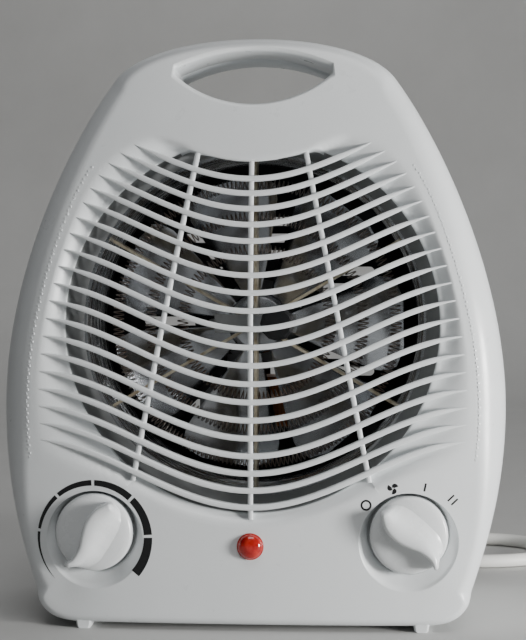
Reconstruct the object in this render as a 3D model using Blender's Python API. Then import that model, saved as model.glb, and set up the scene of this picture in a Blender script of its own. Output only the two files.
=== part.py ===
"""Upright 2 kW fan heater, built as an assembly of separate pieces.

Metres, +Z up, the grille faces -Y, and the heater stands on its feet at z = 0 with the middle of
its base at the origin.  Every moving piece has its origin on the axis that it turns about.
"""

import math

import bmesh
import bpy
from mathutils import Vector

# ---------------------------------------------------------------- driving dimensions (metres)
FRONT_CROWN_Y = -0.0530         # foremost point of the grille face
BACK_Y = 0.0590                 # flat rear wall
PARTING_Y = -0.0085             # plane where the two casing halves meet
PARTING_GAP = 0.0003
WALL = 0.0022                   # moulded wall thickness
BASE_Z = 0.0025                 # underside of the casing, above the feet
TOP_Z = 0.2533
HALF_WIDTH = 0.1080
WIDEST_Z = 0.0936

# Right half of the casing outline: knots and the reach of their curve handles.
SHOULDER = Vector((0.0622, 0.2338))
SHOULDER_ANGLE = 0.97
CORNER = Vector((0.0931, 0.0163))
CORNER_ANGLE = 1.32
BASE_END_X = 0.0736
OUTLINE_STEPS = (4, 6, 4, 3, 3)

# Air outlet and the moulded grille over it.
AXIS_Z = 0.1292                 # height of the fan axis
OUTLET_R = 0.0800
FUNNEL_R = 0.0745
FUNNEL_END_Y = -0.0265
BAR_COUNT = 20
BAR_THICK = 0.0024
BAR_ROOT = 0.0012               # how far a bar's back edge sinks below the sloping rim
BAR_STATIONS = 8
BELL_RISE = 0.0279              # how much higher a bar's ends are than its middle
BELL_HALF = 0.0950              # half wavelength of the bar's bell curve
LIP_Z = 0.1989                  # middle of the outlet's upper edge
RIM_DEPTH = 0.0038              # slope of the rim between the fins
RIB_WIDTH = 0.0022
RIB_TOP = (0.0231, 0.2010)
RIB_BOTTOM = (0.0493, 0.0650)

# Carrying handle: a lens-shaped hole right through the casing.
HANDLE_CORNER = (0.0358, 0.2383)
HANDLE_TOP_Z = 0.2470
HANDLE_BOTTOM_Z = 0.2232
HANDLE_WALL = 0.0022
HANDLE_BACK_Y = 0.0150
HANDLE_MIDDLE = (0.0, 0.2355)

# Controls.
KNOB_X = 0.0660
KNOB_Z = 0.0418
KNOB_R = 0.0162
KNOB_POINTER_R = 0.0178
DISH_FLOOR_R = 0.0171
DISH_RIM_R = 0.0204
DISH_DROP = 0.0030              # the dish's rim is centred this much below the knob
DISH_DEPTH = 0.0042
POINTER_ANGLE = math.radians(230.0)
SPINDLE_R = 0.0030
LAMP_Z = 0.0366
LAMP_R = 0.0056

# Fan, motor and heating element.
DUCT_R = 0.0735
DUCT_FLANGE_R = 0.0835          # front flange, screwed to the funnel
MOUNT_R = 0.0822                # rear flange, which carries the motor mount
DUCT_BOSS_LENGTH = 0.0056       # screw bosses on the outside of the funnel
FAN_R = 0.0670
HUB_R = 0.0140
BLADE_COUNT = 7
BLADE_Y = 0.0078
BLADE_PITCH = math.radians(22.0)
BLADE_THICK = 0.0014
SHAFT_R = 0.0020
ELEMENT_RINGS = {"element_coil_inner": 0.0330, "element_coil_middle": 0.0475, "element_coil_outer": 0.0620}
COIL_R = 0.0026
ELEMENT_Y = -0.0110
MOTOR_FRONT_Y = 0.0237
MOTOR_BACK_Y = 0.0377
STATOR_HALF_W = 0.0290
STATOR_TOP_Z = AXIS_Z + 0.0215
STATOR_LOW_Z = AXIS_Z - 0.0425

# Casing screws (x, z), feet and mains cord.
CASING_SCREWS = ((0.0500, 0.2290), (-0.0500, 0.2290), (0.0900, 0.0560), (-0.0900, 0.0560), (0.0, 0.0115))
FOOT_X = 0.0715
FOOT_HALF_W = 0.0028
FOOT_FRONT_Y = -0.0455
FOOT_BACK_Y = 0.0500
CORD_R = 0.0034
CORD_EXIT = Vector((0.0600, BACK_Y, 0.0220))
RELIEF_LENGTH = 0.0280
GAP = 0.0003                    # clearance between pieces that touch

# Route of the mains lead (x, y, z): out of the strain relief, down, one loose loop, to the coil.
CORD_LAY = CORD_R + 0.0002      # height of the lead's middle where it lies on the floor
LEAD_ROUTE = ((0.0600, 0.0880, 0.0220), (0.0602, 0.0990, 0.0212), (0.0618, 0.1120, 0.0165),
              (0.0665, 0.1280, 0.0090), (0.0760, 0.1440, 0.0042), (0.0900, 0.1580, CORD_LAY),
              (0.1080, 0.1660, CORD_LAY), (0.1270, 0.1650, CORD_LAY), (0.1430, 0.1540, CORD_LAY),
              (0.1500, 0.1360, CORD_LAY), (0.1460, 0.1170, CORD_LAY), (0.1320, 0.1040, CORD_LAY),
              (0.1130, 0.0985, CORD_LAY), (0.0920, 0.1000, CORD_LAY), (0.0700, 0.1050, CORD_LAY),
              (0.0480, 0.1090, CORD_LAY), (0.0330, 0.1095, CORD_LAY))
TAIL_ROUTE = ((-0.0391, 0.1815, 0.0088), (-0.0400, 0.1875, 0.0076), (-0.0446, 0.1970, 0.0058),
              (-0.0548, 0.2065, 0.0044), (-0.0680, 0.2095, 0.0040), (-0.0812, 0.2065, 0.0052),
              (-0.0920, 0.1970, 0.0082), (-0.0966, 0.1850, 0.0108), (-0.0970, 0.1740, 0.0118),
              (-0.0970, 0.1622, 0.0120))
COIL_CENTRE = (0.0040, 0.1535)
COIL_MEAN_R = 0.0400
COIL_BUNDLE = 0.0140            # width and height of the bundle of turns
PLUG_END = Vector((-0.0970, 0.1619, 0.0120))
PLUG_HALF_W = 0.0175
PLUG_HALF_H = 0.0120
PIN_SPREAD = 0.0190
PIN_R = 0.0024
PIN_LENGTH = 0.0190


# ---------------------------------------------------------------- scene, materials and mesh helpers
def clear_scene():
    for item in list(bpy.data.objects):
        bpy.data.objects.remove(item, do_unlink=True)


def material(name, colour, roughness, metallic=0.0, alpha=1.0):
    made = bpy.data.materials.new(name)
    made.use_nodes = True
    made.diffuse_color = (*colour, alpha)
    shader = made.node_tree.nodes["Principled BSDF"]
    shader.inputs["Base Color"].default_value = (*colour, 1.0)
    shader.inputs["Roughness"].default_value = roughness
    shader.inputs["Metallic"].default_value = metallic
    shader.inputs["Alpha"].default_value = alpha
    return made


def add_object(name, vertices, faces, finish, location=(0.0, 0.0, 0.0)):
    """Makes one object from points and faces, with its faces turned outwards."""
    mesh = bpy.data.meshes.new(name)
    mesh.from_pydata([tuple(point) for point in vertices], [], faces)
    work = bmesh.new()
    work.from_mesh(mesh)
    bmesh.ops.recalc_face_normals(work, faces=work.faces)
    work.to_mesh(mesh)
    work.free()
    mesh.shade_smooth()
    mesh.set_sharp_from_angle(angle=math.radians(35.0))
    made = bpy.data.objects.new(name, mesh)
    if finish is not None:
        mesh.materials.append(finish)
    bpy.context.collection.objects.link(made)
    made.location = location
    return made


def loft(rings, ring_shape=False, flat_ends=False):
    """Joins rings of equal length. ring_shape closes the last ring onto the first one; otherwise
    both ends are closed, by one flat face each or by a fan around the middle of the end ring."""
    count = len(rings[0])
    vertices = [point for ring in rings for point in ring]
    faces = []
    spans = len(rings) if ring_shape else len(rings) - 1
    for k in range(spans):
        low = k * count
        high = ((k + 1) % len(rings)) * count
        for i in range(count):
            j = (i + 1) % count
            faces.append((low + i, low + j, high + j, high + i))
    if ring_shape:
        return vertices, faces
    for ring, first in ((rings[0], 0), (rings[-1], (len(rings) - 1) * count)):
        if flat_ends:
            faces.append(tuple(range(first, first + count)))
        else:
            middle = len(vertices)
            vertices.append(sum((Vector(point) for point in ring), Vector()) / count)
            faces += [(first + i, first + (i + 1) % count, middle) for i in range(count)]
    return vertices, faces


def joined(*shapes):
    """Puts several closed shapes that don't touch into one list of points and faces."""
    vertices = []
    faces = []
    for points, polygons in shapes:
        start = len(vertices)
        vertices += points
        faces += [tuple(start + index for index in polygon) for polygon in polygons]
    return vertices, faces


def circle(x, z, radius, y, steps):
    """Points of a circle that faces along Y."""
    turn = 2.0 * math.pi / steps
    return [Vector((x + radius * math.cos(turn * i), y, z + radius * math.sin(turn * i))) for i in range(steps)]


def turned(x, z, profile, steps, ring_shape=False):
    """A turned shape about a Y axis; profile lists (radius, y)."""
    return loft([circle(x, z, radius, y, steps) for radius, y in profile], ring_shape)


def block(low, high):
    """A box between two corners."""
    (x0, y0, z0), (x1, y1, z1) = low, high
    rings = [[Vector((x0, y, z0)), Vector((x1, y, z0)), Vector((x1, y, z1)), Vector((x0, y, z1))]
             for y in (y0, y1)]
    vertices = rings[0] + rings[1]
    faces = [(0, 1, 2, 3), (4, 5, 6, 7), (0, 1, 5, 4), (1, 2, 6, 5), (2, 3, 7, 6), (3, 0, 4, 7)]
    return vertices, faces


def prism(points, y0, y1):
    """A flat outline of (x, z) points, extruded along Y."""
    count = len(points)
    vertices = [Vector((x, y, z)) for y in (y0, y1) for x, z in points]
    faces = [tuple(range(count)), tuple(range(count, 2 * count))]
    faces += [(i, (i + 1) % count, count + (i + 1) % count, count + i) for i in range(count)]
    return vertices, faces


def tool(shape, name):
    """A hidden shape for a Boolean modifier."""
    made = add_object(name, *shape, None)
    made.hide_render = True
    made.display_type = "WIRE"
    return made


def combine(target, shape, name, operation):
    """Adds a Boolean whose hidden shape is given in the target's own frame."""
    step = target.modifiers.new(name, "BOOLEAN")
    step.operation = operation
    step.solver = "EXACT"
    step.object = tool(shape, name)
    step.object.parent = target


def fuse(target, shape, name):
    combine(target, shape, name, "UNION")


def cut(target, shape, name):
    combine(target, shape, name, "DIFFERENCE")


# ---------------------------------------------------------------- casing shape
def bezier(a, b, c, d, t):
    s = 1.0 - t
    return a * s ** 3 + b * (3 * s * s * t) + c * (3 * s * t * t) + d * t ** 3


def outline_segments():
    """The right half of the outline as cubic curves, from the top down to the base."""
    top = Vector((0.0, TOP_Z))
    widest = Vector((HALF_WIDTH, WIDEST_Z))
    base = Vector((BASE_END_X, BASE_Z))
    middle = Vector((0.0, BASE_Z))
    down_shoulder = Vector((math.cos(SHOULDER_ANGLE), -math.sin(SHOULDER_ANGLE)))
    down_corner = Vector((-math.cos(CORNER_ANGLE), -math.sin(CORNER_ANGLE)))
    return (
        (top, top + Vector((0.0292, 0.0)), SHOULDER - down_shoulder * 0.0150, SHOULDER),
        (SHOULDER, SHOULDER + down_shoulder * 0.0390, widest + Vector((0.0, 0.0495)), widest),
        (widest, widest - Vector((0.0, 0.0348)), CORNER - down_corner * 0.0149, CORNER),
        (CORNER, CORNER + down_corner * 0.0067, base + Vector((0.0149, 0.0)), base),
        (base, base.lerp(middle, 0.33), base.lerp(middle, 0.67), middle),
    )


def outline(steps):
    """Outline points clockwise from the top as seen from the front, with outward normals."""
    right = []
    for segment, count in zip(outline_segments(), steps):
        for i in range(count):
            t = i / count
            point = bezier(*segment, t)
            ahead = bezier(*segment, t + 0.001) - bezier(*segment, t)
            normal = Vector((-ahead.y, ahead.x)).normalized()
            right.append((point, normal))
    right[0] = (right[0][0], Vector((0.0, 1.0)))
    bottom = (Vector((0.0, BASE_Z)), Vector((0.0, -1.0)))
    left = [(Vector((-point.x, point.y)), Vector((-normal.x, normal.y))) for point, normal in right[1:]]
    return right + [bottom] + left[::-1]


PROFILE = [bezier(*segment, i / 40.0) for segment in outline_segments()[:4] for i in range(41)]


def half_width(z):
    """Half the casing's width at height z."""
    for above, below in zip(PROFILE, PROFILE[1:]):
        if above.y >= z >= below.y and above.y > below.y:
            share = (above.y - z) / (above.y - below.y)
            return above.x + (below.x - above.x) * share
    return 0.0


def smooth(t):
    t = min(max(t, 0.0), 1.0)
    return t * t * (3.0 - 2.0 * t)


def bell(x):
    return BELL_RISE * (1.0 - math.cos(math.pi * x / BELL_HALF)) / 2.0


def bar_z(i, x):
    """Height of bar i (0 at the top) at x; the pitch widens towards the middle of the grille."""
    middle = 0.1906 - 0.00615 * i - 0.000134 * i ** 2 + 0.0000040 * i ** 3
    return middle + bell(x)


def tip_x(z):
    """Where the fins end, measured from the middle."""
    return half_width(z) - 0.0160 - 0.0100 * math.exp((z - 0.2066) / 0.0065)


def face_y(x, z):
    """The smooth front surface, bowed both ways and leaning back towards the handle."""
    across = abs(x) / HALF_WIDTH
    if z > 0.112:
        lean = 0.0240 * ((z - 0.112) / 0.140) ** 2
    else:
        lean = 0.0040 * ((0.112 - z) / 0.110) ** 2
    return FRONT_CROWN_Y + lean + 0.0030 * across ** 2 + 0.0040 * across ** 4


def rim_slope(x, z):
    """How far the rim between the fins lies below the front surface."""
    inner = math.sqrt(max(OUTLET_R ** 2 - (z - AXIS_Z) ** 2, 0.0))
    outer = tip_x(z)
    if outer <= inner:
        return 0.0
    below_lip = smooth((LIP_Z + bell(x) - z) / 0.0030)
    above_base = smooth((z - bar_z(BAR_COUNT - 1, x) + 0.0075) / 0.0050)
    return RIM_DEPTH * smooth((outer - abs(x)) / (outer - inner)) * below_lip * above_base


def edge_radius(normal, side, top, base):
    """Edge rounding: widest at the sides, tighter at the top and at the base."""
    if normal.y > 0.0:
        return side + (top - side) * smooth(normal.y)
    return side + (base - side) * smooth(-normal.y)


def outlet_edge(direction):
    """Distance from the fan axis to the outlet's edge, a circle with its top cut by the lip."""
    reach = OUTLET_R
    for _ in range(12):
        x = direction.x * reach
        over = AXIS_Z + direction.y * reach - (LIP_Z + bell(x))
        if direction.y > 0.0 and over > 0.0:
            reach -= over * 0.8
    return reach


def toward(point, inset, normal):
    return point - normal * inset


def front_shell_rings(steps):
    """Closed cross-sections of the front half: outer skin, outlet funnel and inner skin."""
    rings = [[] for _ in range(16)]
    for point, normal in outline(steps):
        wide = edge_radius(normal, 0.0140, 0.0055, 0.0036)
        deep = wide * 1.2
        spoke = []
        spoke.append((point, PARTING_Y))
        for k in range(3):
            angle = math.radians(90.0) * k / 2.0
            flat = toward(point, wide * (1.0 - math.cos(angle)), normal)
            spoke.append((flat, face_y(flat.x, flat.y) + deep * (1.0 - math.sin(angle))))
        start = toward(point, wide, normal)
        direction = (start - Vector((0.0, AXIS_Z))).normalized()
        centre = Vector((0.0, AXIS_Z))
        edge = centre + direction * outlet_edge(direction)
        for share in (0.4, 0.7, 1.0):
            flat = start.lerp(edge, share)
            spoke.append((flat, face_y(flat.x, flat.y) + rim_slope(flat.x, flat.y)))
        spoke.append((centre + direction * FUNNEL_R, FUNNEL_END_Y))
        spoke.append((centre + direction * (FUNNEL_R + WALL), FUNNEL_END_Y))
        outer_edge = edge + direction * WALL
        spoke.append((outer_edge, face_y(edge.x, edge.y) + rim_slope(edge.x, edge.y) + WALL))
        for share in (0.7, 0.4):
            flat = start.lerp(edge, share)
            spoke.append((flat, face_y(flat.x, flat.y) + rim_slope(flat.x, flat.y) + WALL))
        for k in (2, 1, 0):
            angle = math.radians(90.0) * k / 2.0
            flat = toward(point, WALL + (wide - WALL) * (1.0 - math.cos(angle)), normal)
            y = face_y(flat.x, flat.y) + WALL + (deep - WALL) * (1.0 - math.sin(angle))
            spoke.append((flat, y))
        spoke.append((toward(point, WALL, normal), PARTING_Y))
        for ring, (flat, y) in zip(rings, spoke):
            ring.append(Vector((flat.x, y, flat.y)))
    return rings


def grid_strip(stations):
    """A solid swept through stations, each a list of four corners, with flat ends."""
    vertices = [corner for station in stations for corner in station]
    faces = [(0, 1, 2, 3)]
    for k in range(len(stations) - 1):
        for i in range(4):
            j = (i + 1) % 4
            faces.append((4 * k + i, 4 * k + j, 4 * k + 4 + j, 4 * k + 4 + i))
    last = 4 * (len(stations) - 1)
    faces.append((last, last + 1, last + 2, last + 3))
    return vertices, faces


def bar_end(i):
    """Where bar i meets the line of the fin tips."""
    x = 0.07
    for _ in range(12):
        x = 0.5 * (x + tip_x(bar_z(i, x)))
    return x


def grille_bar(i):
    """One curved bar, flush with the front surface, tapering into a fin at each end."""
    reach = bar_end(i) - 0.0015
    stations = []
    for k in range(BAR_STATIONS + 1):
        x = reach * (2.0 * k / BAR_STATIONS - 1.0)
        z = bar_z(i, x)
        half = BAR_THICK / 2.0
        front = face_y(x, z)
        back = front + rim_slope(x, z) + BAR_ROOT
        radius = math.hypot(x, z - AXIS_Z)
        if radius < OUTLET_R:
            back = front + RIM_DEPTH + BAR_ROOT
        if k in (0, BAR_STATIONS):
            half *= 0.5
            front += 0.0003
        stations.append([Vector((x, front, z - half)), Vector((x, back, z - half)),
                         Vector((x, back, z + half)), Vector((x, front, z + half))])
    return grid_strip(stations)


def grille_rib(top, bottom):
    """One upright rib behind the bars, from (x, z) to (x, z)."""
    stations = []
    for k in range(7):
        share = -0.02 + 1.04 * k / 6.0
        x = top[0] + (bottom[0] - top[0]) * share
        z = top[1] + (bottom[1] - top[1]) * share
        front = face_y(x, z) + 0.0007
        back = front + 0.0040
        half = RIB_WIDTH / 2.0
        stations.append([Vector((x - half, front, z)), Vector((x - half, back, z)),
                         Vector((x + half, back, z)), Vector((x + half, front, z))])
    return grid_strip(stations)


def plug(points, middle, front, back):
    """A solid behind an outer skin: front and back are functions of (x, z) that give y."""
    rings = []
    for y_of, shares in ((front, (0.5, 1.0)), (back, (1.0, 0.5))):
        for share in shares:
            ring = []
            for x, z in points:
                px = middle[0] + (x - middle[0]) * share
                pz = middle[1] + (z - middle[1]) * share
                ring.append(Vector((px, y_of(px, pz), pz)))
            rings.append(ring)
    return loft(rings)


def flat_circle(x, z, radius, steps):
    return [(point.x, point.z) for point in circle(x, z, radius, 0.0, steps)]


def handle_outline(grow, steps=7):
    """Lens of two arcs that meet at rounded corners, grown outwards by grow."""
    corner_x, corner_z = HANDLE_CORNER
    points = []
    for rise, sign in ((HANDLE_TOP_Z - corner_z, 1.0), (corner_z - HANDLE_BOTTOM_Z, -1.0)):
        radius = (corner_x ** 2 + rise ** 2) / (2.0 * rise)
        centre_z = corner_z + sign * (rise - radius)
        half = math.asin(corner_x / radius) * 0.94
        for k in range(steps + 1):
            angle = half * (2.0 * k / steps - 1.0) * sign
            reach = radius + grow
            points.append((reach * math.sin(angle), centre_z + sign * reach * math.cos(angle)))
    return points


def back_y(x, z):
    """The rear surface: flat behind the fan, stepping forward to the slim handle."""
    step = smooth((0.235 - z) / 0.052)
    return HANDLE_BACK_Y + (BACK_Y - HANDLE_BACK_Y) * step


def rear_skin(point, normal, wall):
    """Points of one spoke of the rear skin from the parting plane towards the fan axis."""
    wide = edge_radius(normal, 0.0180, 0.0055, 0.0040) - wall
    deep = wide
    centre = Vector((0.0, AXIS_Z))
    draft = 0.0030
    spoke = [(toward(point, wall, normal), PARTING_Y + PARTING_GAP)]
    for k in range(3):
        angle = math.radians(90.0) * k / 2.0
        slide = draft if normal.y > -0.5 else 0.0
        flat = toward(point, slide + wall + wide * (1.0 - math.cos(angle)), normal)
        limit = toward(point, slide + wall + wide, normal)
        y = back_y(limit.x, limit.y) - wall - deep * (1.0 - math.sin(angle))
        spoke.append((flat, y))
    start = spoke[-1][0]
    for share in (0.14, 0.28, 0.42, 0.60):
        flat = start.lerp(centre, share)
        spoke.append((flat, back_y(flat.x, flat.y) - wall))
    return spoke


def rear_shell_rings(steps):
    outer = [[] for _ in range(8)]
    inner = [[] for _ in range(8)]
    for point, normal in outline(steps):
        for rings, wall in ((outer, 0.0), (inner, WALL)):
            for ring, (flat, y) in zip(rings, rear_skin(point, normal, wall)):
                ring.append(Vector((flat.x, y, flat.y)))
    return outer[::-1] + inner


# ---------------------------------------------------------------- casing pieces
def make_front_shell(white):
    shell = add_object("front_shell", *loft(front_shell_rings(OUTLINE_STEPS), True), white)
    fuse(shell, joined(*[grille_bar(i) for i in range(BAR_COUNT)]), "grille_bars")
    ribs = [grille_rib(RIB_TOP, RIB_BOTTOM),
            grille_rib((0.0, LIP_Z), (0.0, AXIS_Z - OUTLET_R)),
            grille_rib((-RIB_TOP[0], RIB_TOP[1]), (-RIB_BOTTOM[0], RIB_BOTTOM[1]))]
    fuse(shell, joined(*ribs), "grille_ribs")

    def skin(x, z):
        return face_y(x, z) + 0.0011

    solids = [plug(handle_outline(HANDLE_WALL), HANDLE_MIDDLE, skin, lambda x, z: PARTING_Y)]
    floor_y = dish_floor_y() + WALL
    for side in (1.0, -1.0):
        points = flat_circle(side * KNOB_X, KNOB_Z - DISH_DROP / 2.0, 0.0225, 20)
        solids.append(plug(points, (side * KNOB_X, KNOB_Z), skin, lambda x, z: floor_y))
    solids.append(plug(flat_circle(0.0, LAMP_Z, 0.0072, 12), (0.0, LAMP_Z), skin,
                       lambda x, z: FRONT_CROWN_Y + 0.010))
    for x, z in CASING_SCREWS:
        solids.append(plug(flat_circle(x, z, 0.0040, 10), (x, z), skin, lambda x, z: PARTING_Y))
    for x, z in duct_screw_places():
        solids.append(plug(flat_circle(x, z, 0.0032, 8), (x, z), lambda x, z: FUNNEL_END_Y - DUCT_BOSS_LENGTH,
                           lambda x, z: FUNNEL_END_Y + 0.0004))
    for side in (1.0, -1.0):
        solids.append(foot_rail(side, FOOT_FRONT_Y, PARTING_Y))
    fuse(shell, joined(*solids), "front_solids")

    wide_cuts = [prism(handle_outline(0.0), -0.080, 0.010)]
    for side in (1.0, -1.0):
        wide_cuts.append(knob_dish(side))
    wide_cuts.append(turned(0.0, LAMP_Z, ((0.0049, -0.060), (0.0049, -0.035)), 12))
    for x, z in CASING_SCREWS:
        wide_cuts.append(turned(x, z, ((0.0014, PARTING_Y - 0.0150), (0.0014, 0.0)), 8))
    for x, z in duct_screw_places():
        wide_cuts.append(turned(x, z, ((0.0015, FUNNEL_END_Y - 0.0045), (0.0015, -0.020)), 8))
    cut(shell, joined(*wide_cuts), "front_openings")

    small_cuts = []
    for side in (1.0, -1.0):
        floor = dish_floor_y()
        small_cuts.append(turned(side * KNOB_X, KNOB_Z, ((0.0050, floor - 0.001), (0.0050, floor + 0.006)), 12))
        for offset in (0.0095, -0.0095):
            small_cuts.append(turned(side * KNOB_X, KNOB_Z + offset,
                                     ((0.0018, floor - 0.001), (0.0018, floor + 0.006)), 8))
    cut(shell, joined(*small_cuts), "control_holes")
    return shell


def dish_floor_y():
    return face_y(KNOB_X, KNOB_Z) + DISH_DEPTH


def knob_dish(side):
    """A skewed cone: its floor is round about the spindle, its rim is centred lower."""
    rings = []
    floor = dish_floor_y()
    for share in (0.0, 1.0, 2.2):
        radius = DISH_FLOOR_R + (DISH_RIM_R - DISH_FLOOR_R) * share
        rings.append(circle(side * KNOB_X, KNOB_Z - DISH_DROP * share, radius, floor - DISH_DEPTH * share, 24))
    return loft(rings)


def duct_screw_places():
    reach = 0.0790
    return [(reach * math.cos(math.radians(angle)), AXIS_Z + reach * math.sin(math.radians(angle)))
            for angle in (45.0, 135.0, 225.0, 315.0)]


def foot_rail(side, y0, y1):
    """A tapered rail under the base; its underside is the flat that the heater stands on."""
    x = side * FOOT_X
    top = BASE_Z + 0.0010
    points = [(x - FOOT_HALF_W, 0.0), (x + FOOT_HALF_W, 0.0),
              (x + FOOT_HALF_W + 0.0007, top), (x - FOOT_HALF_W - 0.0007, top)]
    return prism(points, y0, y1)


def make_rear_shell(white):
    shell = add_object("rear_shell", *loft(rear_shell_rings(OUTLINE_STEPS), flat_ends=True), white)

    def skin(x, z):
        return back_y(x, z) - 0.0011

    solids = [plug(handle_outline(HANDLE_WALL), HANDLE_MIDDLE, lambda x, z: PARTING_Y + PARTING_GAP, skin)]
    for x, z in CASING_SCREWS:
        solids.append(plug(flat_circle(x, z, 0.0053, 10), (x, z), lambda x, z: PARTING_Y + PARTING_GAP, skin))
    for side in (1.0, -1.0):
        solids.append(foot_rail(side, PARTING_Y + PARTING_GAP, FOOT_BACK_Y))
    fuse(shell, joined(*solids), "rear_solids")

    wells = [prism(handle_outline(0.0), -0.020, 0.080)]
    for x, z in CASING_SCREWS:
        wells.append(turned(x, z, ((0.0038, PARTING_Y + 0.0050), (0.0038, 0.080)), 10))
    wells.append(turned(CORD_EXIT.x, CORD_EXIT.z, ((0.0047, 0.050), (0.0047, 0.070)), 12))
    wells += intake_slots()
    cut(shell, joined(*wells), "rear_openings")

    holes = [turned(x, z, ((0.0020, PARTING_Y - 0.002), (0.0020, PARTING_Y + 0.0080)), 8)
             for x, z in CASING_SCREWS]
    cut(shell, joined(*holes), "screw_holes")
    return shell


def intake_slots():
    """Rows of level slots that fill a circle behind the fan, on both sides of a middle rib."""
    slots = []
    reach = 0.0600
    pitch = 0.0082
    half_height = 0.0022
    for row in range(-6, 7):
        z = AXIS_Z + row * pitch
        far = math.sqrt(reach ** 2 - (abs(row * pitch) + half_height) ** 2)
        for side in (1.0, -1.0):
            x0 = side * 0.0025
            x1 = side * far
            mid = side * (far - half_height)
            points = [(x0, z - half_height), (mid, z - half_height), (x1, z), (mid, z + half_height),
                      (x0, z + half_height)]
            slots.append(prism(points, BACK_Y - 0.010, BACK_Y + 0.010))
    return slots


def screw(name, x, z, seat_y, direction, head_r, head_h, shank_r, length, steel):
    """A pan-head screw; direction is +1 when the head faces the back, -1 when it faces the front."""
    profile = ((head_r * 0.8, head_h), (head_r, head_h * 0.45), (head_r, 0.0), (shank_r, 0.0),
               (shank_r, -length))
    flipped = [(radius, offset * direction) for radius, offset in profile]
    return add_object(name, *turned(0.0, 0.0, flipped, 8), steel, (x, seat_y, z))


# ---------------------------------------------------------------- controls
def ridge_outline():
    """The S-shaped grip in the knob's own plane; +u runs along the pointer."""
    middle = ((-0.0150, 0.0006, 0.0016), (-0.0120, 0.0021, 0.0024), (-0.0080, 0.0031, 0.0029),
              (-0.0030, 0.0026, 0.0030), (0.0020, 0.0006, 0.0028), (0.0070, -0.0015, 0.0023),
              (0.0130, -0.0020, 0.0017), (KNOB_POINTER_R, 0.0, 0.0013))
    left = [(u, v + half) for u, v, half in middle]
    right = [(u, v - half) for u, v, half in middle]
    return left + right[::-1]


def make_knob(name, side, pointer_angle, white):
    """Round knob with its S-shaped grip, turned so that the pointer is at pointer_angle."""
    floor = dish_floor_y()
    base = floor - 0.0005
    rim = floor - 0.0065
    crown = floor - 0.0078
    profile = ((KNOB_R * 0.6, crown), (KNOB_R * 0.93, rim), (KNOB_R, rim + 0.0012), (KNOB_R, base))
    knob = add_object(name, *turned(0.0, 0.0, profile, 24), white)
    cos, sin = math.cos(pointer_angle), math.sin(pointer_angle)
    points = [(u * cos + v * sin, u * sin - v * cos) for u, v in ridge_outline()]
    top = -0.0590
    rings = []
    for y, grow in ((rim - 0.0003, 1.0), (top + 0.0015, 0.97), (top, 0.86)):
        rings.append([Vector((x * grow, y, z * grow)) for x, z in points])
    fuse(knob, loft(rings, flat_ends=True), name + "_grip")
    hollow = turned(0.0, 0.0, ((0.0060, base + 0.001), (0.0060, base - 0.0036), (0.0138, base - 0.0036),
                               (0.0138, base + 0.001)), 16, True)
    bore = turned(0.0, 0.0, ((SPINDLE_R + 0.0004, base - 0.0060), (SPINDLE_R + 0.0004, base + 0.001)), 12)
    cut(knob, joined(hollow, bore), name + "_hollow")
    axis = bpy.data.objects.new(name + "_axis", None)
    bpy.context.collection.objects.link(axis)
    axis.location = (side * KNOB_X, 0.0, KNOB_Z)
    knob.parent = axis
    return knob


def make_spindle(name, side, steel):
    floor = dish_floor_y()
    profile = ((SPINDLE_R * 0.8, floor - 0.0061), (SPINDLE_R, floor - 0.0055), (SPINDLE_R, floor + 0.0080))
    return add_object(name, *turned(0.0, 0.0, profile, 12), steel, (side * KNOB_X, 0.0, KNOB_Z))


def make_control_body(name, side, half_w, half_h, depth, finish):
    """The housing behind a knob, with a collar through the panel and a bore for the spindle."""
    floor = dish_floor_y()
    front = floor + WALL + GAP
    x = side * KNOB_X
    low = (x - half_w, front, KNOB_Z - half_h)
    high = (x + half_w, front + depth, KNOB_Z + half_h)
    body = add_object(name, *block(low, high), finish)
    fuse(body, turned(x, KNOB_Z, ((0.0046, floor + 0.0004), (0.0046, front + 0.0010)), 12), name + "_collar")
    bore = turned(x, KNOB_Z, ((SPINDLE_R + 0.0004, floor - 0.001), (SPINDLE_R + 0.0004, floor + 0.0090)), 12)
    holes = [turned(x, KNOB_Z + offset, ((0.0015, front - 0.001), (0.0015, front + 0.0055)), 8)
             for offset in (0.0095, -0.0095)]
    cut(body, joined(bore, *holes), name + "_bores")
    return body


def make_pilot_lamp(red, neon_glass):
    """A domed lens with a hollow sleeve, and the small neon lamp inside it."""
    face = face_y(0.0, LAMP_Z)
    profile = ((0.0002, face - 0.0036), (0.0030, face - 0.0030), (0.0048, face - 0.0016), (LAMP_R, face - 0.0004),
               (0.0045, face - 0.0003), (0.0045, face + 0.0130), (0.0036, face + 0.0130), (0.0036, face + 0.0010),
               (0.0002, face + 0.0004))
    add_object("pilot_lens", *turned(0.0, 0.0, profile, 16), red, (0.0, 0.0, LAMP_Z))
    bulb = ((0.0010, face + 0.0022), (0.0026, face + 0.0040), (0.0026, face + 0.0150), (0.0014, face + 0.0170))
    add_object("neon_lamp", *turned(0.0, 0.0, bulb, 10), neon_glass, (0.0, 0.0, LAMP_Z))


def make_controls(white, dark, steel, red, neon_glass, brown):
    make_knob("thermostat_knob", -1.0, POINTER_ANGLE, white)
    make_knob("mode_knob", 1.0, math.pi - POINTER_ANGLE, white)
    make_spindle("thermostat_spindle", -1.0, steel)
    make_spindle("mode_spindle", 1.0, steel)
    make_control_body("thermostat_body", -1.0, 0.0120, 0.0150, 0.0150, brown)
    make_control_body("mode_switch_body", 1.0, 0.0140, 0.0150, 0.0180, dark)
    floor = dish_floor_y()
    for label, side in (("thermostat", -1.0), ("mode_switch", 1.0)):
        for number, offset in enumerate((0.0095, -0.0095), 1):
            screw(f"{label}_screw_{number}", side * KNOB_X, KNOB_Z + offset, floor - GAP, -1.0,
                  0.0027, 0.0011, 0.0011, 0.0065, steel)
    make_pilot_lamp(red, neon_glass)


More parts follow.
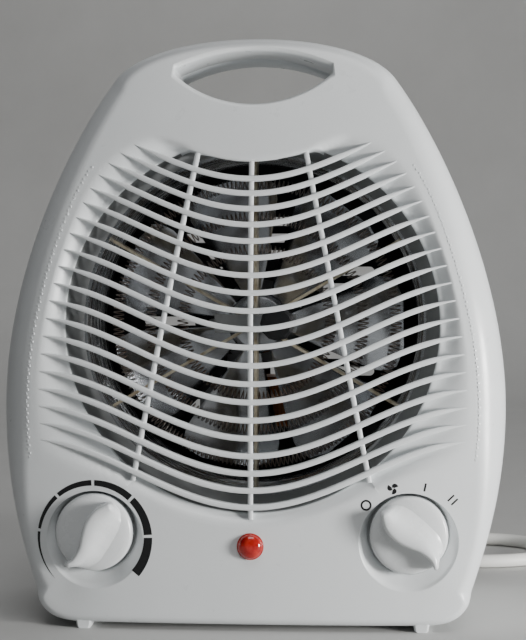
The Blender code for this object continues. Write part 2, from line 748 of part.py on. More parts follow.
# ---------------------------------------------------------------- heating duct and element
def make_duct(metal, steel):
    """A rolled metal duct with a flange at each end, and the screws that hold it."""
    front = FUNNEL_END_Y + 0.0007
    back = 0.0200
    wall = 0.0012
    profile = ((DUCT_R, front), (DUCT_FLANGE_R, front), (DUCT_FLANGE_R, front + wall), (DUCT_R + wall, front + wall),
               (DUCT_R + wall, back - wall), (MOUNT_R, back - wall), (MOUNT_R, back), (DUCT_R, back))
    duct = add_object("heater_duct", *turned(0.0, AXIS_Z, profile, 28, True), metal)
    holes = [turned(x, z, ((0.0017, front - 0.001), (0.0017, front + 0.003)), 8) for x, z in duct_screw_places()]
    holes += [turned(x, z, ((0.0017, back - 0.004), (0.0017, back + 0.001)), 8) for x, z in mount_screw_places()]
    cut(duct, joined(*holes), "duct_holes")
    for number, (x, z) in enumerate(duct_screw_places(), 1):
        screw(f"duct_screw_{number}", x, z, front + wall + GAP, 1.0, 0.0028, 0.0016, 0.0011, 0.0060, steel)


def mount_screw_places():
    reach = 0.0785
    return [(reach * math.cos(math.radians(angle)), AXIS_Z + reach * math.sin(math.radians(angle)))
            for angle in (0.0, 90.0, 180.0, 270.0)]


def make_element(mica, wire):
    """A six-armed mica frame that carries three rings of heating wire."""
    reach = DUCT_R - 0.0007
    half = 0.0006
    arms = 6
    hub = 0.0012
    points = []
    for arm in range(arms):
        angle = math.radians(30.0 + 60.0 * arm)
        along = Vector((math.cos(angle), math.sin(angle)))
        across = Vector((-along.y, along.x))
        for distance, offset in ((hub, -half), (reach, -half), (reach, half), (hub, half)):
            place = along * distance + across * offset
            points.append((place.x, AXIS_Z + place.y))
    frame = add_object("mica_frame", *prism(points, ELEMENT_Y - 0.0070, ELEMENT_Y + 0.0070), mica)
    holes = [torus(radius, COIL_R + 0.0005) for radius in ELEMENT_RINGS.values()]
    cut(frame, joined(*holes), "coil_holes")
    for name, radius in ELEMENT_RINGS.items():
        add_object(name, *torus(radius, COIL_R), wire)


def torus(radius, tube):
    """A ring about the fan axis, at the element's depth."""
    profile = [(radius + tube * math.cos(math.radians(60.0 * k)), ELEMENT_Y + tube * math.sin(math.radians(60.0 * k)))
               for k in range(6)]
    return turned(0.0, AXIS_Z, profile, 24, True)


def make_cutout(dark, metal):
    """A bimetal cutout on a thin bracket in front of the mica frame's hub."""
    face = ELEMENT_Y - 0.0073
    add_object("cutout_bracket", *block((-0.0180, face - 0.0008, AXIS_Z - 0.0040),
                                        (0.0180, face, AXIS_Z + 0.0040)), metal)
    body = turned(0.0, 0.0, ((0.0060, -0.0070), (0.0075, -0.0060), (0.0075, 0.0)), 12)
    add_object("thermal_cutout", *body, dark, (0.0100, face - 0.0011, AXIS_Z))


# ---------------------------------------------------------------- fan and motor
def blade(number):
    """One flat pitched blade of the impeller, from inside the hub to the tip."""
    turn = 2.0 * math.pi * number / BLADE_COUNT
    outward = Vector((math.cos(turn), 0.0, math.sin(turn)))
    tangent = Vector((-math.sin(turn), 0.0, math.cos(turn)))
    along = tangent * math.cos(BLADE_PITCH) + Vector((0.0, math.sin(BLADE_PITCH), 0.0))
    across = outward.cross(along) * (BLADE_THICK / 2.0)
    centre = Vector((0.0, BLADE_Y, 0.0))
    edge = ((HUB_R - 0.0020, 0.0038), (0.0300, 0.0140), (0.0540, 0.0230), (0.0630, 0.0225), (FAN_R - 0.0010, 0.0150))
    plan = [(reach, half) for reach, half in edge] + [(reach, -half) for reach, half in edge[::-1]]
    count = len(plan)
    vertices = [centre + outward * reach + along * half + across * side
                for side in (-1.0, 1.0) for reach, half in plan]
    faces = [tuple(range(count)), tuple(range(count, 2 * count))]
    faces += [(i, (i + 1) % count, count + (i + 1) % count, count + i) for i in range(count)]
    return vertices, faces


def make_fan(metal, steel, iron):
    """Impeller, shaft and rotor turn together on the fan axis."""
    axis = bpy.data.objects.new("fan_axis", None)
    bpy.context.collection.objects.link(axis)
    axis.location = (0.0, 0.0, AXIS_Z)
    hub = ((0.0060, 0.0005), (0.0115, 0.0010), (HUB_R, 0.0030), (HUB_R, 0.0145))
    fan = add_object("fan_impeller", *turned(0.0, 0.0, hub, 20), metal)
    fuse(fan, joined(*[blade(number) for number in range(BLADE_COUNT)]), "fan_blades")
    cut(fan, turned(0.0, 0.0, ((SHAFT_R + GAP, 0.0035), (SHAFT_R + GAP, 0.020)), 10), "fan_bore")
    shaft = add_object("motor_shaft", *turned(0.0, 0.0, ((SHAFT_R, 0.0040), (SHAFT_R, 0.0490)), 10), steel)
    rotor = ((SHAFT_R + GAP, 0.0245), (0.0116, 0.0245), (0.0116, 0.0370), (SHAFT_R + GAP, 0.0370))
    core = add_object("motor_rotor", *turned(0.0, 0.0, rotor, 20, True), iron)
    for piece in (fan, shaft, core):
        piece.parent = axis


def make_motor(iron, copper, steel, brass, dark):
    """Shaded-pole motor: laminated stator, winding on its lower leg, bearings and their brackets."""
    stator = add_object("motor_stator", *block((-STATOR_HALF_W, MOTOR_FRONT_Y, STATOR_LOW_Z),
                                               (STATOR_HALF_W, MOTOR_BACK_Y, STATOR_TOP_Z)), iron)
    window_low = STATOR_LOW_Z + 0.0110
    window_high = AXIS_Z - 0.0185
    window = block((-0.0170, 0.0, window_low), (0.0170, 0.060, window_high))
    bore = turned(0.0, AXIS_Z, ((0.0126, 0.0), (0.0126, 0.060)), 24)
    bolts = [turned(side * 0.0230, AXIS_Z, ((0.0019, 0.0), (0.0019, 0.060)), 8) for side in (1.0, -1.0)]
    cut(stator, joined(window, bore, *bolts), "stator_windows")

    middle_z = STATOR_LOW_Z + 0.0055
    coil = add_object("motor_winding", *block((-0.0150, MOTOR_FRONT_Y - 0.0060, middle_z - 0.0115),
                                              (0.0150, MOTOR_BACK_Y + 0.0060, middle_z + 0.0115)), copper)
    cut(coil, block((-0.0200, MOTOR_FRONT_Y - GAP, STATOR_LOW_Z - GAP),
                    (0.0200, MOTOR_BACK_Y + GAP, window_low + GAP)), "winding_core")
    for label, face, outward in (("front", MOTOR_FRONT_Y - GAP, -1.0), ("rear", MOTOR_BACK_Y + GAP, 1.0)):
        make_bearing(label, face, outward, steel, brass)
    for number, side in enumerate((1.0, -1.0), 1):
        make_motor_screw(number, side, steel)
    make_motor_mount(steel, dark)


def make_bearing(label, face, outward, steel, brass):
    """A pressed bridge over one end of the rotor, with a sintered bush in its middle."""
    half = 0.0075
    thick = 0.0014
    raised = 0.0070
    rail = [(-0.0280, 0.0), (-0.0175, 0.0), (-0.0120, raised - thick), (0.0120, raised - thick), (0.0175, 0.0),
            (0.0280, 0.0), (0.0280, thick), (0.0182, thick), (0.0127, raised), (-0.0127, raised),
            (-0.0182, thick), (-0.0280, thick)]
    low = [Vector((x, face + outward * y, AXIS_Z - half)) for x, y in rail]
    high = [Vector((x, face + outward * y, AXIS_Z + half)) for x, y in rail]
    count = len(rail)
    faces = [tuple(range(count)), tuple(range(count, 2 * count))]
    faces += [(i, (i + 1) % count, count + (i + 1) % count, count + i) for i in range(count)]
    bridge = add_object(f"{label}_bearing_bridge", low + high, faces, steel)
    holes = [turned(0.0, AXIS_Z, ((0.0048, face - 0.012), (0.0048, face + 0.012)), 12)]
    holes += [turned(side * 0.0230, AXIS_Z, ((0.0019, face - 0.004), (0.0019, face + 0.004)), 8)
              for side in (1.0, -1.0)]
    cut(bridge, joined(*holes), f"{label}_bridge_holes")
    middle = face + outward * (raised - thick / 2.0)
    bush = ((SHAFT_R + 0.0002, middle - 0.0026), (0.0044, middle - 0.0026), (0.0044, middle + 0.0026),
            (SHAFT_R + 0.0002, middle + 0.0026))
    add_object(f"{label}_bush", *turned(0.0, 0.0, bush, 12, True), brass, (0.0, 0.0, AXIS_Z))


def make_motor_screw(number, side, steel):
    """A long screw through both bridges and the stator into the motor mount."""
    seat = MOTOR_BACK_Y + GAP + 0.0014 + GAP
    screw(f"motor_screw_{number}", side * 0.0230, AXIS_Z, seat, 1.0, 0.0032, 0.0022, 0.0015,
          seat - MOTOR_FRONT_Y + 0.0032, steel)


def make_motor_mount(steel, dark):
    """A spoked plate across the back of the duct; the motor is screwed to its middle."""
    front = 0.0203
    back = 0.0217
    ring = turned(0.0, AXIS_Z, ((DUCT_R, front), (MOUNT_R, front), (MOUNT_R, back), (DUCT_R, back)), 28, True)
    mount = add_object("motor_mount", *ring, dark)
    middle = turned(0.0, AXIS_Z, ((0.0203, front), (0.0310, front), (0.0310, back), (0.0203, back)), 20, True)
    fuse(mount, middle, "mount_middle")
    spokes = []
    for turn in range(4):
        angle = math.radians(45.0 + 90.0 * turn)
        along = Vector((math.cos(angle), math.sin(angle)))
        across = Vector((-along.y, along.x)) * 0.0045
        corners = [along * 0.0280 - across, along * 0.0770 - across, along * 0.0770 + across, along * 0.0280 + across]
        spokes.append(prism([(corner.x, AXIS_Z + corner.y) for corner in corners], front + 0.00015, back - 0.00015))
    fuse(mount, joined(*spokes), "mount_spokes")
    holes = [turned(x, z, ((0.0017, front - 0.001), (0.0017, back + 0.001)), 8) for x, z in mount_screw_places()]
    holes += [turned(side * 0.0230, AXIS_Z, ((0.0019, front - 0.001), (0.0019, back + 0.001)), 8)
              for side in (1.0, -1.0)]
    holes.append(block((-0.0158, front - 0.001, AXIS_Z - 0.0500), (0.0158, back + 0.001, AXIS_Z - 0.0150)))
    cut(mount, joined(*holes), "mount_holes")
    for number, (x, z) in enumerate(mount_screw_places(), 1):
        screw(f"mount_screw_{number}", x, z, back + GAP, 1.0, 0.0030, 0.0018, 0.0012, 0.0060, steel)


# ---------------------------------------------------------------- mains side
def make_wiring(white, steel, cream):
    """Strain relief, cord clamp and terminal block at the foot of the rear half."""
    x, y, z = CORD_EXIT
    inside = BACK_Y - WALL
    profile = ((0.0062, inside - 0.0028), (0.0062, inside - GAP), (0.0043, inside - GAP), (0.0043, BACK_Y + GAP),
               (0.0064, BACK_Y + GAP), (0.0060, BACK_Y + 0.0026), (0.0052, BACK_Y + 0.0030),
               (CORD_R + 0.0004, BACK_Y + RELIEF_LENGTH))
    add_object("strain_relief", *turned(0.0, 0.0, profile, 14), white, (x, 0.0, z))

    lead_y = 0.0200
    clamp_y = 0.0440
    lead = turned(0.0, 0.0, ((CORD_R, lead_y), (CORD_R, inside - 0.0028 - GAP)), 10)
    add_object("inner_lead", *lead, white, (x, 0.0, z))
    top = z + CORD_R + GAP
    clamp = block((x - 0.0120, clamp_y - 0.0040, top), (x + 0.0120, clamp_y + 0.0040, top + 0.0030))
    bar = add_object("cord_clamp", *clamp, white)
    base = add_object("clamp_saddle", *block((x - 0.0120, clamp_y - 0.0040, BASE_Z + WALL + GAP),
                                             (x + 0.0120, clamp_y + 0.0040, z - CORD_R - GAP)), white)
    for number, side in enumerate((1.0, -1.0), 1):
        place = Vector((x + side * 0.0085, clamp_y, top + 0.0030 + GAP))
        upright = turned(0.0, 0.0, ((0.0024, 0.0018), (0.0028, 0.0008), (0.0028, 0.0), (0.0011, 0.0),
                                    (0.0011, -0.0180)), 8)
        made = add_object(f"clamp_screw_{number}", *upright, steel, place)
        made.rotation_euler = (math.radians(90.0), 0.0, 0.0)
        hole = upright_hole(place, 0.0015, 0.0220)
        for piece in (bar, base):
            cut(piece, hole, f"{piece.name}_hole_{number}")
    low = (x - 0.0110, 0.0060, z - 0.0070)
    high = (x + 0.0110, lead_y - GAP, z + 0.0070)
    add_object("terminal_block", *block(low, high), cream)


def smooth_route(points, spacing):
    """Evenly spaced points along a smooth curve through the route's points."""
    places = [Vector(point) for point in points]
    padded = [places[0] * 2.0 - places[1]] + places + [places[-1] * 2.0 - places[-2]]
    fine = []
    for a, b, c, d in zip(padded, padded[1:], padded[2:], padded[3:]):
        for k in range(16):
            t = k / 16.0
            fine.append(0.5 * ((2.0 * b) + (c - a) * t + (2.0 * a - 5.0 * b + 4.0 * c - d) * t ** 2
                               + (3.0 * b - a - 3.0 * c + d) * t ** 3))
    fine.append(places[-1])
    total = sum((after - before).length for before, after in zip(fine, fine[1:]))
    count = max(2, round(total / spacing))
    picked = [fine[0]]
    walked = 0.0
    for before, after in zip(fine, fine[1:]):
        walked += (after - before).length
        if walked >= total * len(picked) / count and len(picked) < count:
            picked.append(after)
    return picked + [fine[-1]]


def make_tube(name, route, finish):
    """A round lead of radius CORD_R along the route."""
    curve = bpy.data.curves.new(name, "CURVE")
    curve.dimensions = "3D"
    curve.bevel_depth = CORD_R
    curve.bevel_resolution = 2
    curve.render_resolution_u = 0
    curve.use_fill_caps = True
    points = smooth_route(route, 0.0150)
    spline = curve.splines.new("POLY")
    spline.points.add(len(points) - 1)
    for place, point in zip(spline.points, points):
        place.co = (*point, 1.0)
    curve.materials.append(finish)
    bpy.context.collection.objects.link(bpy.data.objects.new(name, curve))


def make_cord(white, brass):
    """The lead on the floor, its stored coil, the short tail and the two-pin plug."""
    make_tube("cord_lead", LEAD_ROUTE, white)
    make_tube("cord_tail", TAIL_ROUTE, white)
    half = COIL_BUNDLE / 2.0
    rings = []
    for radius, z in ((COIL_MEAN_R - half, 0.0), (COIL_MEAN_R + half, 0.0), (COIL_MEAN_R + half, COIL_BUNDLE),
                      (COIL_MEAN_R - half, COIL_BUNDLE)):
        rings.append([Vector((COIL_CENTRE[0] + radius * math.cos(math.radians(15.0 * k)),
                              COIL_CENTRE[1] + radius * math.sin(math.radians(15.0 * k)), z + 0.0002))
                      for k in range(24)])
    add_object("cord_coil", *loft(rings, True), white)

    sections = ((0.0, 0.0042, 0.0042), (0.0150, 0.0062, 0.0062), (0.0195, 0.0120, 0.0095),
                (0.0260, PLUG_HALF_W, PLUG_HALF_H - 0.0002), (0.0440, PLUG_HALF_W, PLUG_HALF_H - 0.0002),
                (0.0460, PLUG_HALF_W - 0.0015, PLUG_HALF_H - 0.0015))
    rings = []
    for along, half_w, half_h in sections:
        ring = []
        for k in range(16):
            angle = 2.0 * math.pi * (k + 0.5) / 16.0
            power = 0.72 if along > 0.016 else 1.0
            cos, sin = math.cos(angle), math.sin(angle)
            ring.append(Vector((PLUG_END.x + half_w * math.copysign(abs(cos) ** power, cos),
                                PLUG_END.y - along,
                                PLUG_END.z + half_h * math.copysign(abs(sin) ** power, sin))))
        rings.append(ring)
    add_object("plug_body", *loft(rings), white)
    face = PLUG_END.y - 0.0460 - GAP
    pin = ((PIN_R, 0.0), (PIN_R, -PIN_LENGTH + 0.0015), (PIN_R * 0.6, -PIN_LENGTH))
    for number, side in enumerate((1.0, -1.0), 1):
        place = (PLUG_END.x + side * PIN_SPREAD / 2.0, face, PLUG_END.z)
        add_object(f"plug_pin_{number}", *turned(0.0, 0.0, pin, 10), brass, place)


def upright_hole(place, radius, depth):
    """A vertical round cutter that ends just above place."""
    rings = []
    for z in (place.z + 0.001, place.z - depth):
        rings.append([Vector((place.x + radius * math.cos(math.radians(45.0 * k)),
                              place.y + radius * math.sin(math.radians(45.0 * k)), z)) for k in range(8)])
    return loft(rings)


def main():
    clear_scene()
    white = material("white_plastic", (0.86, 0.86, 0.85), 0.35)
    knob_white = material("knob_plastic", (0.84, 0.84, 0.83), 0.35)
    dark = material("black_plastic", (0.03, 0.03, 0.035), 0.5)
    brown = material("phenolic_brown", (0.16, 0.07, 0.035), 0.5)
    red = material("red_lens", (0.55, 0.01, 0.01), 0.12)
    neon_glass = material("neon_glass", (0.9, 0.55, 0.35), 0.1)
    metal = material("galvanised_sheet", (0.72, 0.74, 0.76), 0.3, 1.0)
    steel = material("zinc_steel", (0.6, 0.6, 0.6), 0.35, 1.0)
    iron = material("lamination_steel", (0.2, 0.2, 0.21), 0.5, 0.9)
    copper = material("varnished_winding", (0.45, 0.16, 0.06), 0.4, 0.6)
    brass = material("sintered_bronze", (0.5, 0.33, 0.14), 0.5, 1.0)
    mica = material("mica", (0.62, 0.58, 0.48), 0.4)
    wire = material("heating_wire", (0.42, 0.41, 0.4), 0.4, 1.0)
    cream = material("terminal_plastic", (0.8, 0.77, 0.66), 0.5)
    cord_white = material("cord_vinyl", (0.85, 0.85, 0.84), 0.45)

    make_front_shell(white)
    make_rear_shell(white)
    for number, (x, z) in enumerate(CASING_SCREWS, 1):
        screw(f"casing_screw_{number}", x, z, PARTING_Y + 0.0050 + GAP, 1.0, 0.0034, 0.0024, 0.0012, 0.0185, steel)
    make_controls(knob_white, dark, steel, red, neon_glass, brown)
    make_duct(metal, steel)
    make_element(mica, wire)
    make_cutout(dark, metal)
    make_fan(metal, steel, iron)
    make_motor(iron, copper, steel, brass, dark)
    make_wiring(cord_white, steel, cream)
    make_cord(cord_white, brass)


main()
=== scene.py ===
"""Looks of an upright 2 kW fan heater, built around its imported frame.

Metres, +Z up, the grille faces -Y.  Pieces repeat the frame's dimensions and ride on its bodies.
"""

import math

import bmesh
import bpy
from mathutils import Matrix, Vector


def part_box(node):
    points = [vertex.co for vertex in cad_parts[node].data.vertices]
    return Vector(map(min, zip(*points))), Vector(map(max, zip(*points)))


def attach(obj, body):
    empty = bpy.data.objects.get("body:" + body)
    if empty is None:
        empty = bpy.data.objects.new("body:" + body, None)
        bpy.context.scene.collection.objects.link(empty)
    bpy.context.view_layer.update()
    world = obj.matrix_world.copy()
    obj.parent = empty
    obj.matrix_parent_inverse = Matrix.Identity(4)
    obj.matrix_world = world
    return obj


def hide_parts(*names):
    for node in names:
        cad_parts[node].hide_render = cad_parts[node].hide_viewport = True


# ---------------------------------------------------------------- dimensions, as in the frame (metres)
FRONT_CROWN_Y = -0.0530
BACK_Y = 0.0590
PARTING_Y = -0.0085
PARTING_GAP = 0.0003
BASE_FADE = 2.3                        # how soon the edge rounding fades to its base size
REAR_EDGE = (0.0180, 0.0055, 0.0040)   # rounding of the rear edge: side, top, base
REAR_SLIDE = 0.0030
CAMERA_PLACE = (0.0400, -0.6245, 0.1390)
CAMERA_LENS = 77.6
CAMERA_DIP = 0.78                      # degrees
CAMERA_TURN = 3.46                     # degrees
WALL = 0.0022
BASE_Z = 0.0025
TOP_Z = 0.2533
HALF_WIDTH = 0.1080
WIDEST_Z = 0.0936
SHOULDER = Vector((0.0622, 0.2338))
SHOULDER_ANGLE = 0.97
CORNER = Vector((0.0931, 0.0163))
CORNER_ANGLE = 1.32
BASE_END_X = 0.0736
AXIS_Z = 0.1292
OUTLET_R = 0.0800
FUNNEL_R = 0.0745
FUNNEL_END_Y = -0.0265
BAR_COUNT = 20
BAR_THICK = 0.0024
BAR_ROOT = 0.0012
BELL_RISE = 0.0279
BELL_HALF = 0.0950
LIP_Z = 0.1989
RIM_DEPTH = 0.0038
RIB_WIDTH = 0.0022
RIB_TOP = (0.0231, 0.2010)
RIB_BOTTOM = (0.0493, 0.0650)
HANDLE_CORNER = (0.0358, 0.2383)
HANDLE_TOP_Z = 0.2470
HANDLE_BOTTOM_Z = 0.2232
HANDLE_BACK_Y = 0.0150
KNOB_X = 0.0660
KNOB_Z = 0.0418
KNOB_R = 0.0162
KNOB_TOP_Y = -0.0590
KNOB_POINTER_R = 0.0178
DISH_FLOOR_R = 0.0171
DISH_RIM_R = 0.0204
DISH_DROP = 0.0030
DISH_DEPTH = 0.0042
POINTER_ANGLE = math.radians(230.0)
LAMP_Z = 0.0366
LAMP_R = 0.0056
DUCT_R = 0.0735
DUCT_FLANGE_R = 0.0835
MOUNT_R = 0.0822
FAN_R = 0.0670
HUB_R = 0.0140
BLADE_COUNT = 7
BLADE_Y = 0.0078
BLADE_PITCH = math.radians(22.0)
ELEMENT_Y = -0.0110
COIL_WIRE_R = 0.00028
ELEMENT_RINGS = {"element_coil_inner": 0.0330, "element_coil_middle": 0.0475, "element_coil_outer": 0.0620}
COIL_R = 0.0026
CASING_SCREWS = ((0.0500, 0.2290), (-0.0500, 0.2290), (0.0900, 0.0560), (-0.0900, 0.0560), (0.0, 0.0115))
FOOT_X = 0.0715
FOOT_FRONT_Y = -0.0455
FOOT_BACK_Y = 0.0500
CORD_R = 0.0034
CORD_EXIT = Vector((0.0600, BACK_Y, 0.0220))
RELIEF_LENGTH = 0.0280
CORD_LAY = CORD_R + 0.0002
COIL_CENTRE = (0.0040, 0.1535)
COIL_MEAN_R = 0.0400
PLUG_END = Vector((-0.0970, 0.1619, 0.0120))
PIN_SPREAD = 0.0190

# Fineness of the casing's curves.
OUTLINE_STEPS = (18, 30, 20, 14, 16)
ROUND_STEPS = 8
FACE_STEPS = 24


# ---------------------------------------------------------------- materials
def nodes_for(made):
    tree = made.node_tree
    coords = tree.nodes.new("ShaderNodeTexCoord")
    return tree, coords.outputs["Object"]


def stretched(tree, place, scale, turn=(0.0, 0.0, 0.0)):
    mapping = tree.nodes.new("ShaderNodeMapping")
    mapping.inputs["Scale"].default_value = scale
    mapping.inputs["Rotation"].default_value = turn
    tree.links.new(place, mapping.inputs["Vector"])
    return mapping.outputs["Vector"]


def noise(tree, place, scale, detail=3.0, rough=0.5):
    made = tree.nodes.new("ShaderNodeTexNoise")
    made.inputs["Scale"].default_value = scale
    made.inputs["Detail"].default_value = detail
    made.inputs["Roughness"].default_value = rough
    tree.links.new(place, made.inputs["Vector"])
    return made.outputs["Fac"]


def ramp(tree, value, stops):
    made = tree.nodes.new("ShaderNodeValToRGB")
    elements = made.color_ramp.elements
    while len(elements) < len(stops):
        elements.new(0.5)
    for element, (place, colour) in zip(elements, stops):
        element.position = place
        element.color = (*colour, 1.0) if len(colour) == 3 else colour
    tree.links.new(value, made.inputs["Fac"])
    return made.outputs["Color"]


def greys(low, high):
    return ((0.3, (low,) * 3), (0.7, (high,) * 3))


def bump(tree, height, strength, distance, under=None):
    made = tree.nodes.new("ShaderNodeBump")
    made.inputs["Strength"].default_value = strength
    made.inputs["Distance"].default_value = distance
    tree.links.new(height, made.inputs["Height"])
    if under is not None:
        tree.links.new(under, made.inputs["Normal"])
    return made.outputs["Normal"]


def principled(name, colour, roughness, metallic=0.0, **sockets):
    made = bpy.data.materials.new(name)
    made.use_nodes = True
    shader = made.node_tree.nodes["Principled BSDF"]
    shader.inputs["Base Color"].default_value = (*colour, 1.0)
    shader.inputs["Roughness"].default_value = roughness
    shader.inputs["Metallic"].default_value = metallic
    for socket, value in sockets.items():
        shader.inputs[socket.replace("_", " ")].default_value = value
    return made, shader


def moulded(name, light, shade, rough, grain=1500.0, grain_strength=0.06, **sockets):
    """Moulded plastic: slow colour drift, uneven gloss, a fine tool-texture grain and faint sink waves."""
    made, shader = principled(name, light, sum(rough) / 2.0, **sockets)
    tree, place = nodes_for(made)
    drift = noise(tree, place, 22.0, 4.0, 0.6)
    tree.links.new(ramp(tree, drift, ((0.25, shade), (0.72, light))), shader.inputs["Base Color"])
    smear = noise(tree, place, 75.0, 5.0, 0.65)
    tree.links.new(ramp(tree, smear, greys(*rough)), shader.inputs["Roughness"])
    waves = bump(tree, noise(tree, place, 38.0, 1.0), 0.10, 0.002)
    fine = bump(tree, noise(tree, place, grain, 2.0, 0.6), grain_strength, 0.0004, waves)
    tree.links.new(fine, shader.inputs["Normal"])
    return made


def brushed(name, light, shade, rough, scale, strength=0.15, metallic=1.0):
    """Metal with fine lines drawn along the axis with the smallest scale."""
    made, shader = principled(name, light, sum(rough) / 2.0, metallic)
    tree, place = nodes_for(made)
    lines = noise(tree, stretched(tree, place, scale), 1.0, 4.0, 0.6)
    stains = noise(tree, place, 60.0, 4.0, 0.6)
    tree.links.new(ramp(tree, stains, ((0.3, shade), (0.68, light))), shader.inputs["Base Color"])
    tree.links.new(ramp(tree, lines, greys(*rough)), shader.inputs["Roughness"])
    tree.links.new(bump(tree, lines, strength, 0.0003), shader.inputs["Normal"])
    return made


def banded(name, light, shade, rough, direction, scale, strength, metallic):
    """Stacked sheets or wound turns: fine regular bands along one direction."""
    made, shader = principled(name, light, rough, metallic)
    tree, place = nodes_for(made)
    wave = tree.nodes.new("ShaderNodeTexWave")
    wave.bands_direction = direction
    wave.inputs["Scale"].default_value = scale
    wave.inputs["Distortion"].default_value = 0.4
    wave.inputs["Detail"].default_value = 2.0
    tree.links.new(place, wave.inputs["Vector"])
    tree.links.new(ramp(tree, wave.outputs["Fac"], ((0.15, shade), (0.6, light))),
                   shader.inputs["Base Color"])
    tree.links.new(bump(tree, wave.outputs["Fac"], strength, 0.0003), shader.inputs["Normal"])
    return made


def mica_board():
    """Pressed mica: overlapping pale flakes with brown edges and a silky shine."""
    made, shader = principled("mica", (0.70, 0.64, 0.50), 0.34, Coat_Weight=0.25)
    tree, place = nodes_for(made)
    flakes = tree.nodes.new("ShaderNodeTexVoronoi")
    flakes.inputs["Scale"].default_value = 320.0
    tree.links.new(place, flakes.inputs["Vector"])
    tones = ((0.0, (0.76, 0.71, 0.58)), (0.5, (0.62, 0.55, 0.41)), (0.9, (0.44, 0.35, 0.23)))
    tree.links.new(ramp(tree, flakes.outputs["Distance"], tones), shader.inputs["Base Color"])
    tree.links.new(bump(tree, flakes.outputs["Distance"], 0.3, 0.0003), shader.inputs["Normal"])
    return made


def heating_wire():
    """Resistance wire, drawn grey and browned where it has glowed."""
    made, shader = principled("heating_wire", (0.30, 0.27, 0.25), 0.42, 1.0)
    tree, place = nodes_for(made)
    heat = noise(tree, place, 55.0, 3.0)
    tones = ((0.3, (0.34, 0.32, 0.31)), (0.55, (0.25, 0.20, 0.17)), (0.75, (0.20, 0.13, 0.10)))
    tree.links.new(ramp(tree, heat, tones), shader.inputs["Base Color"])
    tree.links.new(bump(tree, noise(tree, place, 4000.0), 0.2, 0.0001), shader.inputs["Normal"])
    return made


def red_lens():
    """Deep red moulded lens, brighter where it thins, over a fine inner texture."""
    made, shader = principled("red_lens", (0.62, 0.015, 0.012), 0.10, Transmission_Weight=0.35, IOR=1.49,
                              Coat_Weight=0.5)
    tree, place = nodes_for(made)
    depth = noise(tree, place, 420.0, 2.0)
    tree.links.new(ramp(tree, depth, ((0.3, (0.45, 0.008, 0.008)), (0.7, (0.74, 0.05, 0.035)))),
                   shader.inputs["Base Color"])
    tree.links.new(bump(tree, depth, 0.12, 0.0003), shader.inputs["Normal"])
    return made


def printed_ink():
    """Screen-printed black: slightly uneven and a little glossier than the plastic."""
    made, shader = principled("printed_ink", (0.012, 0.012, 0.015), 0.32)
    tree, place = nodes_for(made)
    cover = noise(tree, place, 900.0, 3.0, 0.7)
    tree.links.new(ramp(tree, cover, ((0.3, (0.003, 0.003, 0.004)), (0.8, (0.010, 0.010, 0.011)))),
                   shader.inputs["Base Color"])
    tree.links.new(bump(tree, cover, 0.1, 0.0001), shader.inputs["Normal"])
    return made


def lamp_glass():
    made, shader = principled("lamp_glass", (1.0, 0.62, 0.42), 0.05, Transmission_Weight=0.7, IOR=1.5)
    tree, place = nodes_for(made)
    tree.links.new(bump(tree, noise(tree, place, 500.0), 0.05, 0.0003), shader.inputs["Normal"])
    return made


def make_finishes():
    return {
        "shell": moulded("shell_plastic", (0.765, 0.790, 0.800), (0.725, 0.752, 0.765), (0.26, 0.40),
                         Specular_IOR_Level=0.5, Coat_Weight=0.12, Coat_Roughness=0.18),
        # painted shade: the funnel is the same white plastic as the shell; this dark grey stands in for the shade it
        # lies in
        "funnel": moulded("funnel_painted_shade", (0.260, 0.270, 0.275), (0.210, 0.218, 0.222), (0.40, 0.55)),
        # painted shade: near-black stands in for the shade inside the rear shell, which is the same white plastic
        "rear_painted_shade": moulded("rear_inside_painted_shade", (0.030, 0.031, 0.032), (0.022, 0.023, 0.024), (0.55, 0.70)),
        "knob": moulded("knob_plastic", (0.790, 0.812, 0.822), (0.755, 0.780, 0.790), (0.20, 0.32), 2200.0,
                        0.03,
                        Specular_IOR_Level=0.5, Coat_Weight=0.2, Coat_Roughness=0.12),
        "cord": moulded("cord_vinyl", (0.80, 0.80, 0.77), (0.74, 0.74, 0.71), (0.38, 0.55), 900.0, 0.08),
        "black": moulded("black_plastic", (0.028, 0.028, 0.030), (0.018, 0.018, 0.020), (0.42, 0.60)),
        "fan": brushed("fan_sheet", (0.50, 0.51, 0.53), (0.40, 0.41, 0.43), (0.14, 0.26), (30.0, 30.0, 30.0),
                       0.08),
        "cream": moulded("terminal_plastic", (0.70, 0.66, 0.54), (0.62, 0.58, 0.47), (0.40, 0.58)),
        "duct": brushed("duct_sheet", (0.82, 0.84, 0.86), (0.66, 0.68, 0.71), (0.16, 0.34),
                        (60.0, 2400.0, 60.0)),
        "steel": brushed("zinc_steel", (0.66, 0.67, 0.68), (0.50, 0.50, 0.49), (0.28, 0.46),
                         (900.0, 900.0, 90.0)),
        "pin": brushed("plug_pin_metal", (0.78, 0.76, 0.71), (0.66, 0.62, 0.55), (0.16, 0.32),
                       (2200.0, 150.0, 2200.0)),
        "bronze": brushed("bush_bronze", (0.55, 0.38, 0.18), (0.40, 0.26, 0.12), (0.35, 0.55),
                          (900.0, 900.0, 900.0)),
        "iron": banded("laminated_iron", (0.30, 0.30, 0.31), (0.10, 0.10, 0.105), 0.45, "Y", 420.0, 0.5, 0.9),
        "copper": banded("enamelled_copper", (0.62, 0.24, 0.09), (0.28, 0.09, 0.03), 0.30, "X", 480.0, 0.8,
                         0.75),
        "mica": mica_board(),
        "wire": heating_wire(),
        "red": red_lens(),
        "ink": printed_ink(),
        "glass": lamp_glass(),
    }


# ---------------------------------------------------------------- mesh helpers
def add_mesh(name, shape, finish, angle=40.0):
    vertices, faces = shape
    mesh = bpy.data.meshes.new(name)
    mesh.from_pydata([tuple(point) for point in vertices], [], faces)
    mesh.validate()
    mesh.shade_smooth()
    mesh.set_sharp_from_angle(angle=math.radians(angle))
    mesh.materials.append(finish)
    made = bpy.data.objects.new(name, mesh)
    bpy.context.collection.objects.link(made)
    return made


